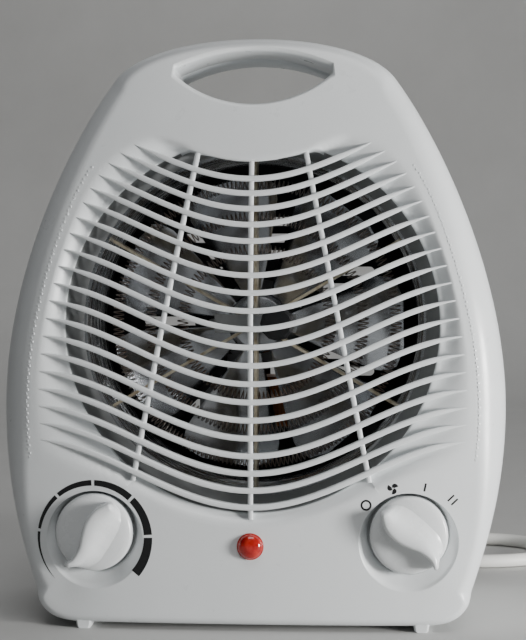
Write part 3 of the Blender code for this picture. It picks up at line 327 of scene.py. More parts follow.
def loft(rings, closed=False, ends=False):
    """Joins rings of equal length; closed joins the last ring to the first, ends caps both of them."""
    count = len(rings[0])
    vertices = [point for ring in rings for point in ring]
    faces = []
    for k in range(len(rings) if closed else len(rings) - 1):
        low = k * count
        high = ((k + 1) % len(rings)) * count
        for i in range(count):
            j = (i + 1) % count
            faces.append((low + i, low + j, high + j, high + i))
    if ends:
        faces.append(tuple(range(count))[::-1])
        faces.append(tuple(range((len(rings) - 1) * count, len(rings) * count)))
    return vertices, faces


def joined(*shapes):
    vertices = []
    faces = []
    for points, polygons in shapes:
        start = len(vertices)
        vertices += points
        faces += [tuple(start + index for index in polygon) for polygon in polygons]
    return vertices, faces


def circle(x, z, radius, y, steps):
    turn = 2.0 * math.pi / steps
    return [Vector((x + radius * math.cos(turn * i), y,
                    z + radius * math.sin(turn * i))) for i in range(steps)]


def turned(x, z, profile, steps=48, closed=False, ends=False):
    """A turned shape about a Y axis; profile lists (radius, y)."""
    return loft([circle(x, z, radius, y, steps) for radius, y in profile], closed, ends)


def prism(points, y0, y1):
    return loft([[Vector((x, y, z)) for x, z in points] for y in (y0, y1)], ends=True)


def rounded(points, samples):
    """A smooth curve through (or round) a list of points, samples points for each span."""
    padded = [points[0] * 2.0 - points[1]] + list(points) + [points[-1] * 2.0 - points[-2]]
    fine = []
    for a, b, c, d in zip(padded, padded[1:], padded[2:], padded[3:]):
        for k in range(samples):
            t = k / samples
            fine.append(0.5 * ((2.0 * b) + (c - a) * t + (2.0 * a - 5.0 * b + 4.0 * c - d) * t ** 2
                               + (3.0 * b - a - 3.0 * c + d) * t ** 3))
    return fine + [points[-1]]


def sweep(points, radius, sides, closed=False, scale=None):
    """A tube along points. scale gives the radius share at each point."""
    rings = []
    count = len(points)
    side = None
    for i, point in enumerate(points):
        before = points[(i - 1) % count] if closed or i else points[0]
        after = points[(i + 1) % count] if closed or i < count - 1 else points[-1]
        along = (after - before).normalized()
        if side is None:
            side = along.orthogonal().normalized()
        side = (side - along * side.dot(along)).normalized()
        other = along.cross(side)
        reach = radius * (scale[i] if scale else 1.0)
        rings.append([point + (side * math.cos(2.0 * math.pi * k / sides)
                               + other * math.sin(2.0 * math.pi * k / sides)) * reach for k in range(sides)])
    return loft(rings, closed, not closed)


def cut(target, shape, name):
    """Removes a closed shape from a mesh, and applies the cut."""
    tool = add_mesh(name, shape, target.data.materials[0])
    work = bmesh.new()
    work.from_mesh(tool.data)
    bmesh.ops.recalc_face_normals(work, faces=work.faces)
    work.to_mesh(tool.data)
    work.free()
    step = target.modifiers.new(name, "BOOLEAN")
    step.operation = "DIFFERENCE"
    step.solver = "EXACT"
    step.object = tool
    bpy.context.view_layer.update()
    graph = bpy.context.evaluated_depsgraph_get()
    finished = bpy.data.meshes.new_from_object(target.evaluated_get(graph))
    target.modifiers.clear()
    target.data = finished
    bpy.data.objects.remove(tool)


def outward(made):
    """Turns a closed mesh's faces outwards."""
    volume = 0.0
    for face in made.data.polygons:
        corners = [made.data.vertices[i].co for i in face.vertices]
        for b, c in zip(corners[1:], corners[2:]):
            volume += corners[0].dot(b.cross(c))
    if volume < 0.0:
        made.data.flip_normals()
    return made


def placed(made, body, slot, *replaced):
    """Puts a piece on a body and hides the nodes that it stands for; slot is not used."""
    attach(made, body)
    if replaced:
        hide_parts(*replaced)
    return made


# ---------------------------------------------------------------- casing shape, as in the frame
def bezier(a, b, c, d, t):
    s = 1.0 - t
    return a * s ** 3 + b * (3 * s * s * t) + c * (3 * s * t * t) + d * t ** 3


def outline_segments():
    top = Vector((0.0, TOP_Z))
    widest = Vector((HALF_WIDTH, WIDEST_Z))
    base = Vector((BASE_END_X, BASE_Z))
    middle = Vector((0.0, BASE_Z))
    down_shoulder = Vector((math.cos(SHOULDER_ANGLE), -math.sin(SHOULDER_ANGLE)))
    down_corner = Vector((-math.cos(CORNER_ANGLE), -math.sin(CORNER_ANGLE)))
    return (
        (top, top + Vector((0.0292, 0.0)), SHOULDER - down_shoulder * 0.0150, SHOULDER),
        (SHOULDER, SHOULDER + down_shoulder * 0.0390, widest + Vector((0.0, 0.0495)), widest),
        (widest, widest - Vector((0.0, 0.0348)), CORNER - down_corner * 0.0149, CORNER),
        (CORNER, CORNER + down_corner * 0.0067, base + Vector((0.0149, 0.0)), base),
        (base, base.lerp(middle, 0.33), base.lerp(middle, 0.67), middle),
    )


def outline(steps):
    """Outline points clockwise from the top as seen from the front, with outward normals."""
    right = []
    for segment, count in zip(outline_segments(), steps):
        for i in range(count):
            t = i / count
            point = bezier(*segment, t)
            ahead = bezier(*segment, t + 0.001) - bezier(*segment, t)
            right.append((point, Vector((-ahead.y, ahead.x)).normalized()))
    right[0] = (right[0][0], Vector((0.0, 1.0)))
    bottom = (Vector((0.0, BASE_Z)), Vector((0.0, -1.0)))
    left = [(Vector((-point.x, point.y)), Vector((-normal.x, normal.y))) for point, normal in right[1:]]
    return right + [bottom] + left[::-1]


PROFILE = [bezier(*segment, i / 40.0) for segment in outline_segments()[:4] for i in range(41)]


def half_width(z):
    for above, below in zip(PROFILE, PROFILE[1:]):
        if above.y >= z >= below.y and above.y > below.y:
            share = (above.y - z) / (above.y - below.y)
            return above.x + (below.x - above.x) * share
    return 0.0


def smooth(t):
    t = min(max(t, 0.0), 1.0)
    return t * t * (3.0 - 2.0 * t)


def bell(x):
    return BELL_RISE * (1.0 - math.cos(math.pi * x / BELL_HALF)) / 2.0


def bar_z(i, x):
    return 0.1906 - 0.00615 * i - 0.000134 * i ** 2 + 0.0000040 * i ** 3 + bell(x)


def tip_x(z):
    return half_width(z) - 0.0160 - 0.0100 * math.exp((z - 0.2066) / 0.0065)


def face_y(x, z):
    across = abs(x) / HALF_WIDTH
    if z > 0.112:
        lean = 0.0240 * ((z - 0.112) / 0.140) ** 2
    else:
        lean = 0.0040 * ((0.112 - z) / 0.110) ** 2
    return FRONT_CROWN_Y + lean + 0.0030 * across ** 2 + 0.0040 * across ** 4


def rim_slope(x, z):
    inner = math.sqrt(max(OUTLET_R ** 2 - (z - AXIS_Z) ** 2, 0.0))
    outer = tip_x(z)
    if outer <= inner:
        return 0.0
    below_lip = smooth((LIP_Z + bell(x) - z) / 0.0030)
    above_base = smooth((z - bar_z(BAR_COUNT - 1, x) + 0.0075) / 0.0050)
    return RIM_DEPTH * smooth((outer - abs(x)) / (outer - inner)) * below_lip * above_base


def edge_radius(normal, side, top, base):
    if normal.y > 0.0:
        return side + (top - side) * smooth(normal.y)
    return side + (base - side) * smooth(-BASE_FADE * normal.y)


def outlet_edge(direction):
    reach = OUTLET_R
    for _ in range(12):
        x = direction.x * reach
        over = AXIS_Z + direction.y * reach - (LIP_Z + bell(x))
        if direction.y > 0.0 and over > 0.0:
            reach -= over * 0.8
    return reach


def handle_outline(grow, steps=30):
    """Lens of two arcs that meet at rounded corners, grown outwards by grow."""
    corner_x, corner_z = HANDLE_CORNER
    points = []
    for rise, sign in ((HANDLE_TOP_Z - corner_z, 1.0), (corner_z - HANDLE_BOTTOM_Z, -1.0)):
        radius = (corner_x ** 2 + rise ** 2) / (2.0 * rise)
        centre_z = corner_z + sign * (rise - radius)
        half = math.asin(corner_x / radius) * 0.94
        for k in range(steps + 1):
            angle = half * (2.0 * k / steps - 1.0) * sign
            reach = radius + grow
            points.append((reach * math.sin(angle), centre_z + sign * reach * math.cos(angle)))
    return points


def back_y(x, z):
    return HANDLE_BACK_Y + (BACK_Y - HANDLE_BACK_Y) * smooth((0.235 - z) / 0.052)


def sunk_edge(ring_at, depths, surface):
    """Rings of a moulded opening: ring_at(grow) gives its outline, depths lists (grow, depth below surface)."""
    rings = []
    edge = [surface(x, z) for x, z in ring_at(depths[0][0])]
    for grow, depth in depths:
        rings.append([Vector((x, y + depth, z)) for (x, z), y in zip(ring_at(grow), edge)])
    return rings


# ---------------------------------------------------------------- front half of the casing
def front_skin_rings():
    """Closed cross-sections: side wall, rounded edge, face, outlet lip, funnel and the inner skin."""
    rings = []
    centre = Vector((0.0, AXIS_Z))
    for point, normal in outline(OUTLINE_STEPS):
        wide = edge_radius(normal, 0.0140, 0.0055, 0.0036)
        deep = wide * 1.2
        spoke = [(point - normal * 0.0003, PARTING_Y), (point, PARTING_Y - 0.0004),
                 (point, PARTING_Y - 0.0060)]
        for k in range(ROUND_STEPS + 1):
            angle = math.radians(90.0) * k / ROUND_STEPS
            flat = point - normal * wide * (1.0 - math.cos(angle))
            spoke.append((flat, face_y(flat.x, flat.y) + deep * (1.0 - math.sin(angle))))
        start = point - normal * wide
        direction = (start - centre).normalized()
        edge = centre + direction * outlet_edge(direction)
        for k in range(1, FACE_STEPS + 1):
            flat = start.lerp(edge, k / FACE_STEPS)
            spoke.append((flat, face_y(flat.x, flat.y) + rim_slope(flat.x, flat.y)))
        lip_y = spoke[-1][1]
        spoke.append((edge - direction * 0.0006, lip_y + 0.00015))
        spoke.append((edge - direction * 0.0010, lip_y + 0.0008))
        for k in range(1, 6):
            flat = (edge - direction * 0.0010).lerp(centre + direction * FUNNEL_R, k / 5.0)
            spoke.append((flat, lip_y + 0.0008 + (FUNNEL_END_Y - lip_y - 0.0008) * k / 5.0))
        spoke.append((centre + direction * (FUNNEL_R + WALL), FUNNEL_END_Y))
        spoke.append((edge + direction * WALL, lip_y + WALL))
        for share in (0.75, 0.5, 0.25, 0.0):
            flat = start.lerp(edge, share)
            spoke.append((flat, face_y(flat.x, flat.y) + rim_slope(flat.x, flat.y) + WALL))
        for k in (2, 1, 0):
            angle = math.radians(90.0) * k / 3.0
            flat = point - normal * (WALL + (wide - WALL) * (1.0 - math.cos(angle)))
            spoke.append((flat, face_y(flat.x, flat.y) + WALL + (deep - WALL) * (1.0 - math.sin(angle))))
        spoke.append((point - normal * WALL, PARTING_Y))
        while len(rings) < len(spoke):
            rings.append([])
        for ring, (flat, y) in zip(rings, spoke):
            ring.append(Vector((flat.x, y, flat.y)))
    return rings


def bar_end(i):
    x = 0.07
    for _ in range(12):
        x = 0.5 * (x + tip_x(bar_z(i, x)))
    return x


def grille_bar(i):
    """One rounded bar, flush with the face, that narrows to a spike where it runs out onto the shell."""
    steps = 72
    reach = bar_end(i) - 0.0004
    rings = []
    for k in range(steps + 1):
        x = reach * math.sin(math.radians(90.0) * (2.0 * k / steps - 1.0))
        z = bar_z(i, x)
        slope = (bar_z(i, x + 0.0005) - bar_z(i, x - 0.0005)) / 0.001
        normal = Vector((-slope, 1.0)).normalized()
        spike = smooth((reach - abs(x)) / 0.0170)
        half = 0.00035 + (BAR_THICK / 2.0 - 0.00035) * spike
        front = face_y(x, z) + 0.00025 * (1.0 - smooth((reach - abs(x)) / 0.0030))
        drop = RIM_DEPTH if math.hypot(x, z - AXIS_Z) < OUTLET_R else rim_slope(x, z)
        back = front + max(drop, 0.0004) + BAR_ROOT
        edge = min(0.0005, half * 0.8)
        ring = []
        for offset, y in ((-half + edge, front), (-half + edge * 0.3, front + edge * 0.3),
                          (-half, front + edge),
                          (-half * 0.85, back), (half * 0.85, back), (half, front + edge),
                          (half - edge * 0.3, front + edge * 0.3), (half - edge, front)):
            ring.append(Vector((x + normal.x * offset, y, z + normal.y * offset)))
        rings.append(ring)
    return loft(rings, ends=True)


def grille_rib(top, bottom):
    """One upright rib that carries the bars from behind."""
    rings = []
    steps = 40
    for k in range(steps + 1):
        share = -0.01 + 1.02 * k / steps
        x = top[0] + (bottom[0] - top[0]) * share
        z = top[1] + (bottom[1] - top[1]) * share
        front = face_y(x, z) + 0.0007
        half = RIB_WIDTH / 2.0
        edge = 0.0004
        rings.append([Vector((x + dx, front + dy, z)) for dx, dy in
                      ((-half + edge, 0.0), (-half, edge), (-half * 0.8, 0.0042), (half * 0.8, 0.0042),
                       (half, edge), (half - edge, 0.0))])
    return loft(rings, ends=True)


def side_emboss(side):
    """A fine raised row of slanted dashes just outside the fin tips."""
    shapes = []
    count = 74
    for k in range(count):
        z = 0.0730 + (0.1960 - 0.0730) * k / (count - 1)
        x = side * (tip_x(z) + 0.0030)
        lean = 0.0006 if k % 2 else -0.0006
        corners = [(x - 0.00018, z - 0.0006 + lean * 0.2), (x + 0.00018 + lean, z - 0.0006),
                   (x + 0.00018 + lean, z + 0.0006), (x - 0.00018, z + 0.0006 + lean * 0.2)]
        rings = [[Vector((px, face_y(px, pz) + 0.0002, pz)) for px, pz in corners],
                 [Vector((x + (px - x) * 0.6, face_y(px, pz) - 0.00022, z + (pz - z) * 0.6)) for px,
                  pz in corners]]
        shapes.append(loft(rings, ends=True))
    return joined(*shapes)


def dish_outline(side):
    """The knob's recess: round about the spindle at its floor, dropping lower towards its rim."""
    def at(grow):
        share = (grow - DISH_FLOOR_R) / (DISH_RIM_R - DISH_FLOOR_R)
        return [(p.x, p.z) for p in circle(side * KNOB_X, KNOB_Z - DISH_DROP * share, grow, 0.0, 96)]
    return at


def dish_shape(side):
    floor_y = face_y(KNOB_X, KNOB_Z) + DISH_DEPTH
    at = dish_outline(side)
    rim = at(DISH_RIM_R + 0.0005)
    inside = at(DISH_RIM_R)
    rings = [[Vector((x, face_y(x, z) - 0.00001, z)) for x, z in rim],
             [Vector((x, face_y(x, z) + 0.00012, z)) for x, z in at(DISH_RIM_R + 0.0002)],
             [Vector((x, face_y(x, z) + 0.0005, z)) for x, z in inside]]
    for share in (0.75, 0.5, 0.25, 0.04):
        ring = at(DISH_FLOOR_R + (DISH_RIM_R - DISH_FLOOR_R) * share)
        rings.append([Vector((x, floor_y - (floor_y - face_y(x, z) - 0.0005) * share, z)) for x, z in ring])
    for radius, y in ((DISH_FLOOR_R, floor_y + 0.0021), (KNOB_R - 0.0002, floor_y + 0.0021),
                      (KNOB_R - 0.0010, floor_y + 0.0004), (KNOB_R - 0.0014, floor_y), (0.0060, floor_y),
                      (0.0050, floor_y + 0.0004), (0.0050, floor_y + WALL)):
        rings.append([Vector((p.x, y, p.z)) for p in circle(side * KNOB_X, KNOB_Z, radius, 0.0, 96)])
    return loft(rings)


def make_front(finishes):
    skin = add_mesh("front_skin", loft(front_skin_rings(), closed=True), finishes["shell"])
    outward(skin)
    cuts = [prism(handle_outline(0.0018), -0.080, 0.010)]
    for side in (1.0, -1.0):
        cuts.append(prism(dish_outline(side)(DISH_RIM_R + 0.0005), -0.070, -0.030))
    cuts.append(prism([(p.x, p.z) for p in circle(0.0, LAMP_Z, 0.0050, 0.0, 48)], -0.070, -0.030))
    cut(skin, joined(*cuts), "front_cuts")
    skin.data.shade_smooth()
    skin.data.set_sharp_from_angle(angle=math.radians(42.0))
    # Faces inside the outlet, behind the lip, get the dark funnel tone: painted shade on the white shell plastic.
    skin.data.materials.append(finishes["funnel"])
    for face in skin.data.polygons:
        middle = face.center
        if math.hypot(middle.x, middle.z - AXIS_Z) < OUTLET_R and middle.y > face_y(middle.x,
                                                                                    middle.z) + 0.0050:
            face.material_index = 1
    placed(skin, "casing", "shell_plastic", "front_shell")

    bars = add_mesh("grille_bars", joined(*[grille_bar(i) for i in range(BAR_COUNT)]), finishes["shell"],
                    50.0)
    outward(bars)
    placed(bars, "casing", "shell_plastic", "front_shell")
    ribs = [grille_rib(RIB_TOP, RIB_BOTTOM), grille_rib((0.0, LIP_Z), (0.0, AXIS_Z - OUTLET_R)),
            grille_rib((-RIB_TOP[0], RIB_TOP[1]), (-RIB_BOTTOM[0], RIB_BOTTOM[1]))]
    made = add_mesh("grille_ribs", joined(*ribs), finishes["shell"], 50.0)
    outward(made)
    placed(made, "casing", "shell_plastic", "front_shell")
    for label, side in (("left", -1.0), ("right", 1.0)):
        made = add_mesh(f"side_emboss_{label}", side_emboss(side), finishes["shell"])
        placed(outward(made), "casing", "shell_plastic", "front_shell")
        made = add_mesh(f"knob_dish_{label}", dish_shape(side), finishes["shell"], 60.0)
        placed(made, "casing", "shell_plastic", "front_shell")

    depths = ((0.0018, 0.0), (0.0008, 0.0003), (0.0002, 0.0010), (0.0, 0.0020))
    rings = sunk_edge(handle_outline, depths, face_y)
    rings.append([Vector((x, PARTING_Y - 0.0003, z)) for x, z in handle_outline(0.0)])
    rings.append([Vector((x, PARTING_Y, z)) for x, z in handle_outline(0.0003)])
    rings.append([Vector((x, PARTING_Y, z)) for x, z in handle_outline(WALL)])
    made = add_mesh("handle_tunnel_front", loft(rings), finishes["shell"], 50.0)
    placed(made, "casing", "shell_plastic", "front_shell")
    make_feet("front_feet", FOOT_FRONT_Y, PARTING_Y, "front_shell", finishes)


def make_feet(name, y0, y1, node, finishes):
    """Tapered rails under the base with rounded ends."""
    shapes = []
    for side in (1.0, -1.0):
        rings = []
        for y, inset in ((y0, 0.0008), (y0 + 0.0008, 0.0), (y1 - 0.0008, 0.0), (y1, 0.0004)):
            x = side * FOOT_X
            rings.append([Vector((x + dx, y, z)) for dx, z in
                          ((-0.0024 + inset, 0.0), (0.0024 - inset, 0.0), (0.0029 - inset, 0.0005),
                           (0.0035 - inset, BASE_Z + 0.0015), (-0.0035 + inset, BASE_Z + 0.0015),
                           (-0.0029 + inset, 0.0005))])
        shapes.append(loft(rings, ends=True))
    made = add_mesh(name, joined(*shapes), finishes["shell"])
    placed(outward(made), "casing", "shell_plastic", node)


# ---------------------------------------------------------------- rear half of the casing
def rear_skin_rings():
    rings = []
    centre = Vector((0.0, AXIS_Z))
    for point, normal in outline(OUTLINE_STEPS):
        skins = []
        for wall in (0.0, WALL):
            wide = edge_radius(normal, *REAR_EDGE) - wall
            slide = REAR_SLIDE * (1.0 - smooth(-BASE_FADE * normal.y))
            spoke = [(point - normal * (wall + 0.0003), PARTING_Y + PARTING_GAP),
                     (point - normal * wall, PARTING_Y + PARTING_GAP + 0.0004)]
            limit = point - normal * (slide + wall + wide)
            for k in range(ROUND_STEPS + 1):
                angle = math.radians(90.0) * k / ROUND_STEPS
                flat = point - normal * (slide + wall + wide * (1.0 - math.cos(angle)))
                spoke.append((flat, back_y(limit.x, limit.y) - wall - wide * (1.0 - math.sin(angle))))
            start = limit - centre
            far = point - centre
            first = math.atan2(start.y, start.x)
            turn = (math.atan2(far.y, far.x) - first + math.pi) % (2.0 * math.pi) - math.pi
            for k in range(1, 19):
                share = k / 18.0
                angle = first + turn * smooth(5.0 * share)
                radius = start.length * (1.0 - 0.98 * share)
                flat = centre + Vector((math.cos(angle), math.sin(angle))) * radius
                spoke.append((flat, back_y(flat.x, flat.y) - wall))
            skins.append(spoke)
        spoke = skins[0][::-1] + skins[1]
        while len(rings) < len(spoke):
            rings.append([])
        for ring, (flat, y) in zip(rings, spoke):
            ring.append(Vector((flat.x, y, flat.y)))
    return rings


def intake_slots():
    slots = []
    half = 0.0022
    for row in range(-6, 7):
        z = AXIS_Z + row * 0.0082
        far = math.sqrt(0.0600 ** 2 - (abs(row * 0.0082) + half) ** 2)
        for side in (1.0, -1.0):
            points = [(0.0025 + half * 0.3, z - half), (0.0025, z - half * 0.7), (0.0025, z + half * 0.7),
                      (0.0025 + half * 0.3, z + half)]
            for k in range(13):
                angle = math.radians(90.0 - 15.0 * k)
                points.append((far - half + half * math.cos(angle), z + half * math.sin(angle)))
            slots.append(prism([(side * x, pz) for x, pz in points], BACK_Y - 0.010, BACK_Y + 0.010))
    return slots


def make_rear(finishes):
    skin = add_mesh("rear_skin", loft(rear_skin_rings(), ends=True), finishes["shell"])
    outward(skin)
    cuts = [prism(handle_outline(0.0018), -0.020, 0.080)] + intake_slots()
    for x, z in CASING_SCREWS:
        cuts.append(prism([(p.x, p.z) for p in circle(x, z, 0.0044, 0.0, 40)], PARTING_Y + 0.009, 0.080))
    cuts.append(prism([(p.x, p.z) for p in circle(CORD_EXIT.x, CORD_EXIT.z, 0.0050, 0.0, 32)], 0.050, 0.070))
    cut(skin, joined(*cuts), "rear_cuts")
    skin.data.shade_smooth()
    skin.data.set_sharp_from_angle(angle=math.radians(42.0))
    # The rear wall's inner faces round the fan get the near-black tone: painted shade on the white shell plastic.
    skin.data.materials.append(finishes["rear_painted_shade"])
    for face in skin.data.polygons:
        if face.normal.y < -0.5 and math.hypot(face.center.x,
                                               face.center.z - AXIS_Z) < DUCT_FLANGE_R + 0.0150:
            face.material_index = 1
    placed(skin, "casing", "shell_plastic", "rear_shell")

    rings = sunk_edge(handle_outline, ((0.0018, 0.0), (0.0008, -0.0003), (0.0002, -0.0010), (0.0, -0.0020)),
                      back_y)
    rings.append([Vector((x, PARTING_Y + PARTING_GAP + 0.0003, z)) for x, z in handle_outline(0.0)])
    rings.append([Vector((x, PARTING_Y + PARTING_GAP, z)) for x, z in handle_outline(0.0003)])
    rings.append([Vector((x, PARTING_Y + PARTING_GAP, z)) for x, z in handle_outline(WALL)])
    made = add_mesh("handle_tunnel_rear", loft(rings), finishes["shell"], 50.0)
    made.data.flip_normals()
    placed(made, "casing", "shell_plastic", "rear_shell")

    wells = []
    for x, z in CASING_SCREWS:
        skin_y = back_y(x, z + 0.002)
        floor_y = PARTING_Y + 0.0050
        profile = ((0.0046, skin_y), (0.0040, skin_y - 0.0007), (0.0038, floor_y), (0.0012, floor_y))
        wells.append(turned(x, z, profile, 40))
    made = add_mesh("screw_wells", joined(*wells), finishes["shell"], 50.0)
    placed(made, "casing", "shell_plastic", "rear_shell")
    make_feet("rear_feet", PARTING_Y + PARTING_GAP, FOOT_BACK_Y, "rear_shell", finishes)


# ---------------------------------------------------------------- controls and printing
def knob_ridge(cos, sin, rim_y):
    """The tall S-shaped grip: steep on one side, with a broad hollow slope down to the disc on the other."""
    middle = [Vector(point) for point in (
        (-0.0150, 0.0006, 0.0016), (-0.0120, 0.0021, 0.0024), (-0.0080, 0.0031, 0.0029),
        (-0.0030, 0.0026, 0.0030),
        (0.0020, 0.0006, 0.0028), (0.0070, -0.0015, 0.0023), (0.0130, -0.0020, 0.0017),
        (KNOB_POINTER_R - 0.0004, 0.0, 0.0012))]
    line = rounded(middle, 10)
    section = ((1.0, 0.0, 0.0), (0.98, 0.55, 0.0), (0.93, 0.80, 0.0), (0.80, 0.93, 0.0), (0.62, 0.985, 0.0),
               (0.3, 1.0, 0.0), (-0.1, 0.99, 0.01), (-0.5, 0.93, 0.05), (-0.8, 0.80, 0.11),
               (-0.93, 0.64, 0.19), (-0.98, 0.48, 0.29), (-1.0, 0.33, 0.41), (-1.0, 0.20, 0.55),
               (-1.0, 0.10, 0.71),
               (-1.0, 0.03, 0.87), (-1.0, 0.0, 1.0))
    rings = []
    count = len(line)
    for k, point in enumerate(line):
        before = line[max(k - 1, 0)]
        after = line[min(k + 1, count - 1)]
        along = Vector((after.x - before.x, after.y - before.y)).normalized()
        normal = Vector((-along.y, along.x))
        near = min(k, count - 1 - k)
        ease = math.sqrt(1.0 - (1.0 - min(near / 5.0, 1.0)) ** 2)
        half = point.z * (0.25 + 0.75 * ease)
        height = (rim_y + 0.0006 - KNOB_TOP_Y - 0.0001) * (0.55 + 0.45 * ease)
        reach = math.sqrt(max(0.0, (KNOB_R * 0.95) ** 2 - point.x ** 2))
        slope = max(0.0, reach + point.y - half)
        ring = []
        for across, up, spread in section:
            u = point.x + normal.x * across * half
            v = point.y + normal.y * across * half - spread * slope
            ring.append(Vector((u * cos + v * sin, rim_y + 0.0006 - up * height, u * sin - v * cos)))
        rings.append(ring)
    return loft(rings, ends=True)


def make_knob(name, body, side, pointer_angle, finishes):
    floor_y = face_y(KNOB_X, KNOB_Z) + DISH_DEPTH
    rim_y = floor_y - 0.0065
    crown_y = floor_y - 0.0078
    profile = [(0.0001, crown_y), (KNOB_R * 0.35, crown_y + 0.00012), (KNOB_R * 0.62, crown_y + 0.0004),
               (KNOB_R * 0.82, crown_y + 0.0008), (KNOB_R * 0.93, rim_y), (KNOB_R * 0.975, rim_y + 0.0004),
               (KNOB_R, rim_y + 0.0013), (KNOB_R + 0.0001, floor_y - 0.0010),
               (KNOB_R - 0.0002, floor_y - 0.0006),
               (0.0060, floor_y - 0.0006)]
    disc = turned(0.0, 0.0, profile, 96)
    shape = joined(disc, knob_ridge(math.cos(pointer_angle), math.sin(pointer_angle), rim_y))
    made = add_mesh(name + "_moulding", shape, finishes["knob"], 45.0)
    made.location = (side * KNOB_X, 0.0, KNOB_Z)
    placed(made, body, "knob_plastic", name)


def skin_patch(columns, lift=0.00005):
    """A printed strip on the face; columns lists pairs of (x, z) across it."""
    rings = []
    for (x0, z0), (x1, z1) in columns:
        rings.append([Vector((x0 + (x1 - x0) * t, 0.0, z0 + (z1 - z0) * t)) for t in (0.0, 0.5, 1.0)])
    vertices = []
    faces = []
    for ring in rings:
        for point in ring:
            vertices.append(Vector((point.x, face_y(point.x, point.z) - lift, point.z)))
    for k in range(len(rings) - 1):
        for i in range(2):
            low = 3 * k + i
            faces.append((low, low + 3, low + 4, low + 1))
    return vertices, faces


def arc_print(x, z, start, end, inner, outer, steps):
    """Part of a printed ring, clockwise from start to end in degrees; inner and outer are functions of the share."""
    columns = []
    for k in range(steps + 1):
        share = k / steps
        angle = math.radians(start + (end - start) * share)
        cos, sin = math.cos(angle), math.sin(angle)
        columns.append(((x + inner(share) * cos, z + inner(share) * sin),
                        (x + outer(share) * cos, z + outer(share) * sin)))
    return skin_patch(columns)


def stroke_print(a, b, width):
    along = (Vector(b) - Vector(a)).normalized() * width / 2.0
    side = Vector((-along.y, along.x))
    columns = []
    for t in (0.0, 0.34, 0.67, 1.0):
        middle = Vector(a).lerp(Vector(b), t)
        columns.append((tuple(middle - side), tuple(middle + side)))
    return skin_patch(columns)


def make_prints(finishes):
    """The thermostat's growing arc on the left; off, fan, low and high marks on the right."""
    scale_x, scale_z = -KNOB_X, KNOB_Z - DISH_DROP + 0.0003
    marks = []
    start, end = 226.0, -40.0
    gaps = [173.0, 132.0, 91.0, 47.0, 3.0]
    edges = [start] + [edge for gap in gaps for edge in (gap + 1.5, gap - 1.5)] + [end]
    for first, last in zip(edges[0::2], edges[1::2]):
        def inner(share, first=first, last=last):
            progress = (start - (first + (last - first) * share)) / (start - end)
            return 0.0247 - 0.0040 * progress ** 0.75
        marks.append(arc_print(scale_x, scale_z, first, last, inner, lambda share: 0.0247, 24))
    made = add_mesh("thermostat_scale", joined(*marks), finishes["ink"])
    placed(made, "casing", "dark_plastic")

    def around(angle, radius):
        turn = math.radians(angle)
        return Vector((KNOB_X + radius * math.cos(turn), KNOB_Z + radius * math.sin(turn)))

    off = around(145.0, 0.0217)
    symbols = [arc_print(off.x, off.y, 360.0, 0.0, lambda share: 0.0015, lambda share: 0.0023, 36)]
    fan = around(109.0, 0.0206)
    for blade in range(3):
        turn = 120.0 * blade + 20.0

        def petal_inner(share):
            return 0.0003 + 0.0002 * share

        def petal_outer(share):
            return 0.0006 + 0.0018 * (1.0 - (1.0 - share) ** 3)
        symbols.append(arc_print(fan.x, fan.y, turn + 100.0, turn, petal_inner, petal_outer, 18))
    low = around(71.5, 0.0210)
    tilt = Vector((math.sin(math.radians(12.0)), math.cos(math.radians(12.0)))) * 0.0017
    symbols.append(stroke_print(low - tilt, low + tilt, 0.0008))
    high = around(38.8, 0.0233)
    tilt = Vector((math.sin(math.radians(47.0)), math.cos(math.radians(47.0)))) * 0.0018
    apart = Vector((tilt.y, -tilt.x)).normalized() * 0.0011
    for offset in (apart, -apart):
        symbols.append(stroke_print(high + offset - tilt, high + offset + tilt, 0.0007))
    made = add_mesh("mode_symbols", joined(*symbols), finishes["ink"])
    placed(made, "casing", "dark_plastic")


def make_lamp(finishes):
    face = face_y(0.0, LAMP_Z)
    dome = []
    for k in range(10):
        angle = math.radians(90.0) * k / 9.0
        dome.append((max(0.0001, (LAMP_R - 0.0004) * math.sin(angle)),
                     face - 0.0006 - 0.0030 * math.cos(angle)))
    dome += [(LAMP_R, face - 0.0005), (LAMP_R, face - 0.0001), (0.0046, face), (0.0045, face + 0.0130),
             (0.0038, face + 0.0130), (0.0038, face + 0.0010), (0.0001, face + 0.0004)]
    made = add_mesh("pilot_dome", turned(0.0, LAMP_Z, dome, 64), finishes["red"], 50.0)
    placed(outward(made), "casing", "lens_plastic", "pilot_lens")


# ---------------------------------------------------------------- duct, element and fan
def make_duct(finishes):
    """Rolled sheet duct with pressed beads round its wall and a flange at each end."""
    front = FUNNEL_END_Y + 0.0007
    back = 0.0200
    wall = 0.0012
    inner = [(DUCT_R, front + 0.0001)]
    for bead in range(4):
        y = front + 0.0060 + 0.0080 * bead
        for k in range(9):
            turn = math.radians(22.5 * k)
            inner.append((DUCT_R - 0.0009 * math.sin(turn), y + 0.0022 * (k / 8.0 - 0.5) * 2.0))
    inner.append((DUCT_R, back))
    outer = [(MOUNT_R, back), (MOUNT_R, back - wall), (DUCT_R + wall, back - wall),
             (DUCT_R + wall, front + wall),
             (DUCT_FLANGE_R, front + wall), (DUCT_FLANGE_R, front)]
    made = add_mesh("duct_sheet", turned(0.0, AXIS_Z, inner + outer, 128, True), finishes["duct"])
    placed(outward(made), "casing", "duct_metal", "heater_duct")


def make_coils(finishes):
    """Each heating ring as a fine open helix of wire."""
    for name, radius in ELEMENT_RINGS.items():
        turns = round(2.0 * math.pi * radius / 0.0019)
        points = []
        for k in range(turns * 10):
            along = 2.0 * math.pi * k / (turns * 10)
            around = 2.0 * math.pi * k / 10.0
            reach = radius + (COIL_R - COIL_WIRE_R) * math.cos(around)
            points.append(Vector((reach * math.cos(along),
                                  ELEMENT_Y + (COIL_R - COIL_WIRE_R) * math.sin(around),
                                  AXIS_Z + reach * math.sin(along))))
        made = add_mesh(name + "_helix", sweep(points, COIL_WIRE_R, 6, True), finishes["wire"], 70.0)
        placed(made, "casing", "heater_wire", name)


